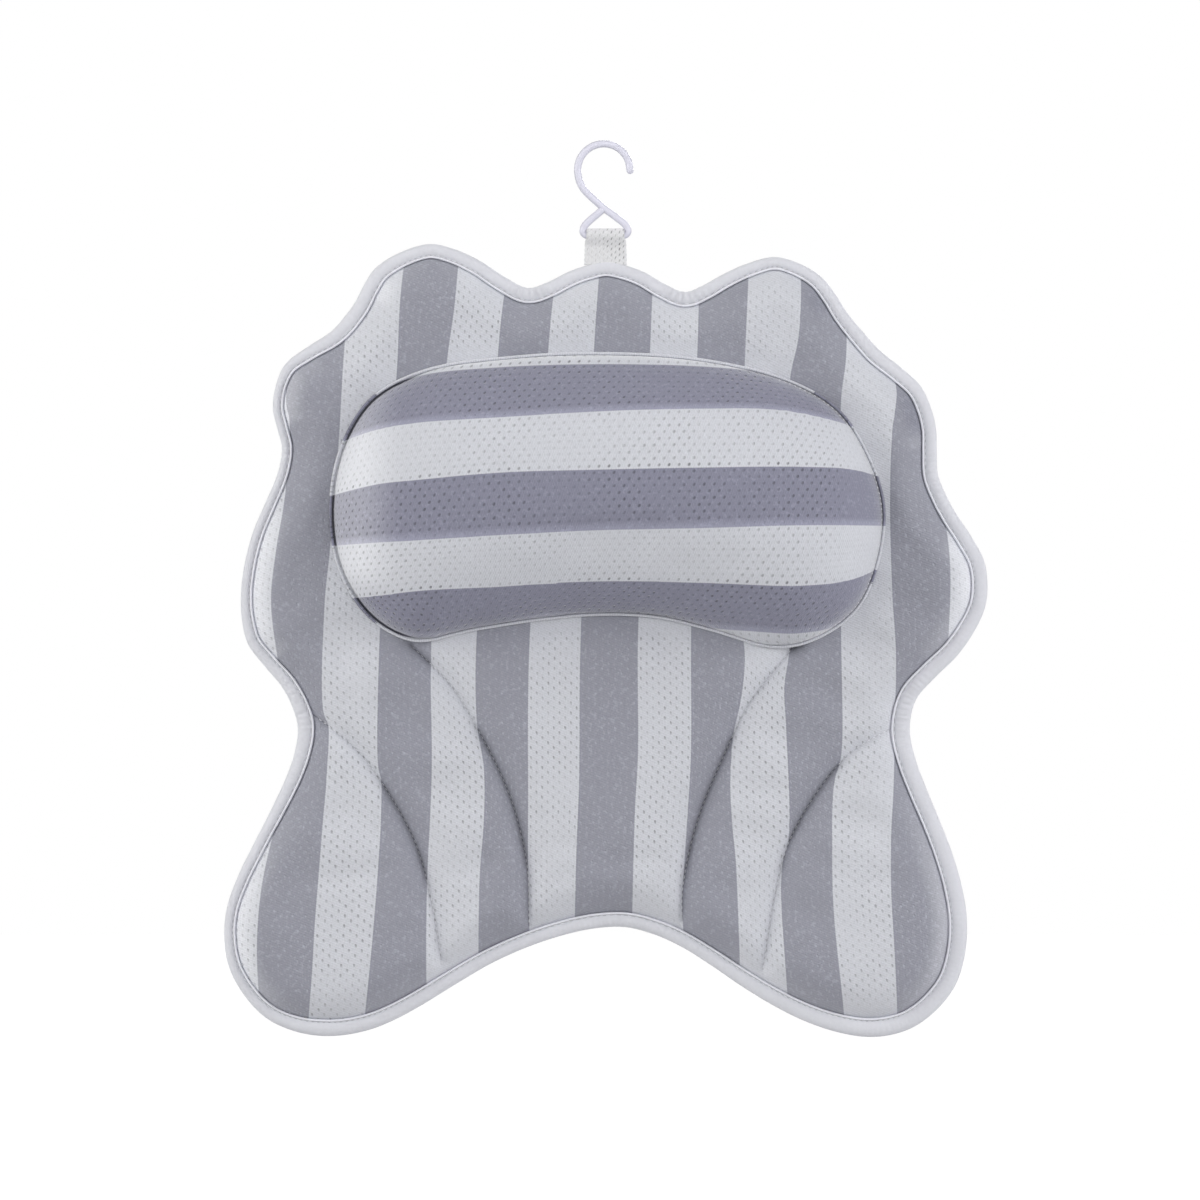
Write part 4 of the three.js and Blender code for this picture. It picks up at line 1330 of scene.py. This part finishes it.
def rounded(profile, radius, steps=4):
    """A closed profile with its corners rounded, as far as their sides allow."""
    profile = np.array(profile, float)
    found = []
    for before, at, after in zip(np.roll(profile, 1, 0), profile, np.roll(profile, -1, 0)):
        to_before, to_after = before - at, after - at
        length_before, length_after = np.linalg.norm(to_before), np.linalg.norm(to_after)
        reach = min(radius, 0.45 * length_before, 0.45 * length_after)
        first, last = at + to_before / length_before * reach, at + to_after / length_after * reach
        for share in np.linspace(0, 1, steps):
            found.append(first * (1 - share) ** 2 + 2 * at * share * (1 - share) + last * share**2)
    return np.array(found)


cup_profile = rounded(CUP_PROFILE, CUP_ROUNDING)
eyelet_profile = rounded(EYELET_PROFILE, EYELET_ROUNDING)
for i, place in enumerate(cup_places, 1):
    dress(lathe(f"vinyl_cup_{i}", cup_profile, place), vinyl, f"cup_{i}", [f"suction_cup_{i}"])
    eyelet = lathe(f"neck_eyelet_{i}", eyelet_profile, place)
    dress(eyelet, eyelet_plastic, "pad", [f"eyelet_{i}"])

# The hook: one bent rod, whose foot goes round the tab's fold
ROD_RADIUS = 1.85 * MM
ROD_SIDES = 20
ROD_SPACING = 0.55 * MM
CURL_PX = (603.8, 168.7)
CURL_RADIUS = 13.1 * MM
LEG_PX = [(579.2, 179), (583.4, 187.6), (592.4, 197), (604.5, 207.4)]
TIP = (0.1 * MM, -0.3 * MM)
BAR_HALF = 8.8 * MM
BAR_CORNER = 2.5 * MM
SHOULDER_IN = 0.8 * MM
SHOULDER_RISE = 4.6 * MM
ROD_END = (1.5 * MM, 1.0 * MM)
joints = {joint["name"]: joint for joint in frame["record"]["behaviour"]["joints"]}
fold_height = joints["tab_fold"]["pos_m"][2]
bar_height = joints["hook_swing"]["pos_m"][2]


def rod_path():
    """The rod's middle line, from its tip down to the foot and back up to the crossing."""
    turn = np.radians(np.linspace(0, 180, 13))
    curl = plan([CURL_PX])[0] + CURL_RADIUS * np.stack([np.cos(turn), np.sin(turn)], 1)
    leg = plan(LEG_PX)
    corner = np.radians([75, 50, 25, 0])
    out, up = BAR_CORNER * np.sin(corner), BAR_CORNER * (1 - np.cos(corner))
    right = np.stack([BAR_HALF + out, bar_height + up], 1)
    shoulder = np.array([BAR_HALF + BAR_CORNER - SHOULDER_IN, bar_height + SHOULDER_RISE])
    mirror = (-1, 1)
    foot = [[shoulder], right, (right * mirror)[::-1], [shoulder * mirror]]
    return np.concatenate([[curl[0] + TIP], curl, leg, *foot, [leg[-1] - ROD_END]])


def rod():
    path = Line(rod_path(), ROD_SPACING)
    cos, sin = circle(ROD_SIDES)
    cap = np.radians(np.linspace(0, 80, 6))
    bulge = ROD_RADIUS * np.sin(cap)[:, None]
    start, end = path.points[0] - path.ahead[0] * bulge[::-1], path.points[-1] + path.ahead[-1] * bulge
    points = np.concatenate([start, path.points[1:-1], end])
    between = len(path.points) - 2
    left = np.repeat(path.left, [len(cap), *[1] * between, len(cap)], axis=0)
    radius = ROD_RADIUS * np.concatenate([np.cos(cap[::-1]), np.ones(between), np.cos(cap)])[:, None]
    piece = tube("hanging_hook", rows_along(points, left, radius * cos, pad_plane - radius * sin), flip=True)
    rows = np.arange(len(points))
    # u runs from the middle of the rod's front to its sides, which get painted shade
    add_map(piece, FABRIC_MAP, np.tile(np.abs(cos), len(rows)), np.repeat(rows, ROD_SIDES))
    dress(piece, hook_plastic, "hook", ["hook"])


rod()

# The tab: a strap of mesh that comes up out of the tape, goes over the bar and down again. Its widths are in
# millimetres, at heights over the bar.
TAB_PLY = 1.4 * MM
TAB_PLY_GAP_SHARE = 0.52
TAB_WIDTHS = [(-16, 21.4), (-3.4, 20.7), (-1.5, 19.2), (4, 18.8)]
TAB_DEPTH = 3.5 * MM
TAB_SPACING = 0.6 * MM
TAB_COLUMNS = 25
TAB_STRIPE = 18 * MM
TAB_PORE_PITCH = 2.9 * MM
BAR_CLEARANCE = 0.35 * MM
PINCH_DROP = 5.2 * MM
SCALLOP = 0.12 * MM
SCALLOP_PITCH = 2.4 * MM
BLEND_BELOW = 2.4 * MM
BLEND_ABOVE = 2.6 * MM


def strap():
    bend = ROD_RADIUS + BAR_CLEARANCE + TAB_PLY / 2
    turn = np.radians(np.linspace(-20, 200, 23))
    over = np.stack([bend * np.cos(turn), bar_height + bend * np.sin(turn)], 1)
    rise = np.linspace(fold_height - TAB_DEPTH, bar_height - PINCH_DROP, 9)[:, None] * (0, 1)
    ply = (TAB_PLY_GAP_SHARE * TAB_PLY, 0)
    path = Line(np.concatenate([rise + ply, over, (rise - ply)[::-1]]), TAB_SPACING)
    across = np.linspace(-1, 1, TAB_COLUMNS)
    thick = np.sqrt(np.clip(1 - np.abs(across) ** 14, 0.08, 1)) * TAB_PLY / 2
    across, thick = np.append(across, across[::-1]), np.append(thick, -thick[::-1])
    y, z = path.points.T[..., None]
    width = np.interp((z - bar_height) / MM, *zip(*TAB_WIDTHS)) * MM
    scallop = SCALLOP * np.sin(z * math.tau / SCALLOP_PITCH) * (np.abs(across) > 0.9)
    out_y, out_z = path.left.T[..., None] * thick
    rows = np.stack([across * (width / 2 + scallop), pad_plane + y + out_y, z + out_z], 2)
    piece = tube("tab_strap", rows, flip=True)
    v = np.repeat(path.along / TAB_PORE_PITCH, len(across))
    add_map(piece, FABRIC_MAP, rows[..., 0].ravel() / TAB_STRIPE + STRIPE_OFFSET, v)
    piece.data.materials.append(tab_fabric)
    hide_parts("hanging_tab")
    start, end = (0, pad_plane, fold_height - BLEND_BELOW), (0, pad_plane, fold_height + BLEND_ABOVE)
    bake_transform(piece)


strap()

# The white surroundings: bright to the camera, a gloss or a clear piece, and dimmer as a light
FLOOR_DROP = 200 * MM
FLOOR_RADIUS = 6.0
FLOOR_SIDES = 96
FLOOR_COLOUR = (0.62, 0.62, 0.62, 1)
FLOOR_GLOW = 1.2
FLOOR_SHARE = 0.85
AMBIENT = 0.16


def seen(tree, low, high):
    """A value that is high for the rays that come from the camera, a gloss or a clear piece, and else low."""
    kinds = ("Is Camera Ray", "Is Glossy Ray", "Is Transmission Ray")
    camera_ray, glossy_ray, clear_ray = (tree.node("LightPath", out=kind) for kind in kinds)
    shiny = tree.math("MAXIMUM", tree.math("MAXIMUM", camera_ray, glossy_ray), clear_ray)
    return tree.node("MapRange", shiny, 0, 1, low, high)


cos, sin = FLOOR_RADIUS * np.array(circle(FLOOR_SIDES))
level = np.full(FLOOR_SIDES, cad_box[0].z - FLOOR_DROP)
floor = make_mesh("floor", np.stack([cos, sin, level], 1), [range(FLOOR_SIDES)], smooth=False)
material = bpy.data.materials.new("floor")
material.use_nodes = True
nodes = material.node_tree.nodes
nodes.remove(nodes["Principled BSDF"])
tree = Nodes(material.node_tree)
lit, own = tree.node("BsdfDiffuse", FLOOR_COLOUR), tree.node("Emission", None, FLOOR_GLOW)
both = tree.node("MixShader", seen(tree, 0, FLOOR_SHARE), lit, own)
tree.set(nodes["Material Output"].inputs["Surface"], both)
floor.data.materials.append(material)

world = bpy.data.worlds.new("world")
world.use_nodes = True
scene.world = world
tree = Nodes(world.node_tree)
sky = world.node_tree.nodes["Background"].inputs
tree.set(sky["Color"], (1, 1, 1, 1))
tree.set(sky["Strength"], seen(tree, AMBIENT, 1))

# The lights, square and soft
LIGHT_DISTANCE = 3.0
LIGHT_SIZE = 1.6
WARM = (1, 0.995, 0.955)


def soft_box(name, azimuth, elevation, power, colour=(1, 1, 1)):
    """A light. Azimuth 0 is in front of the object, and 90 to its right."""
    data = bpy.data.lights.new(name, "AREA")
    data.size, data.energy, data.color = LIGHT_SIZE, power, colour
    turn, rise = math.radians(azimuth), math.radians(elevation)
    way = Vector((math.sin(turn) * math.cos(rise), -math.cos(turn) * math.cos(rise), math.sin(rise)))
    lamp = add_object(name, data)
    lamp.location = way * LIGHT_DISTANCE
    lamp.rotation_euler = way.to_track_quat("Z", "Y").to_euler()


soft_box("left", -70, 15, 36, WARM)
soft_box("left_front", -35, 15, 10)
soft_box("front", 0, 15, 8.5)
soft_box("right_front", 35, 15, 13)
soft_box("right", 70, 15, 35.5)
soft_box("upper_left", -60, 55, 12)
soft_box("upper_right", 60, 55, 7)
soft_box("behind", 165, 22, 70)
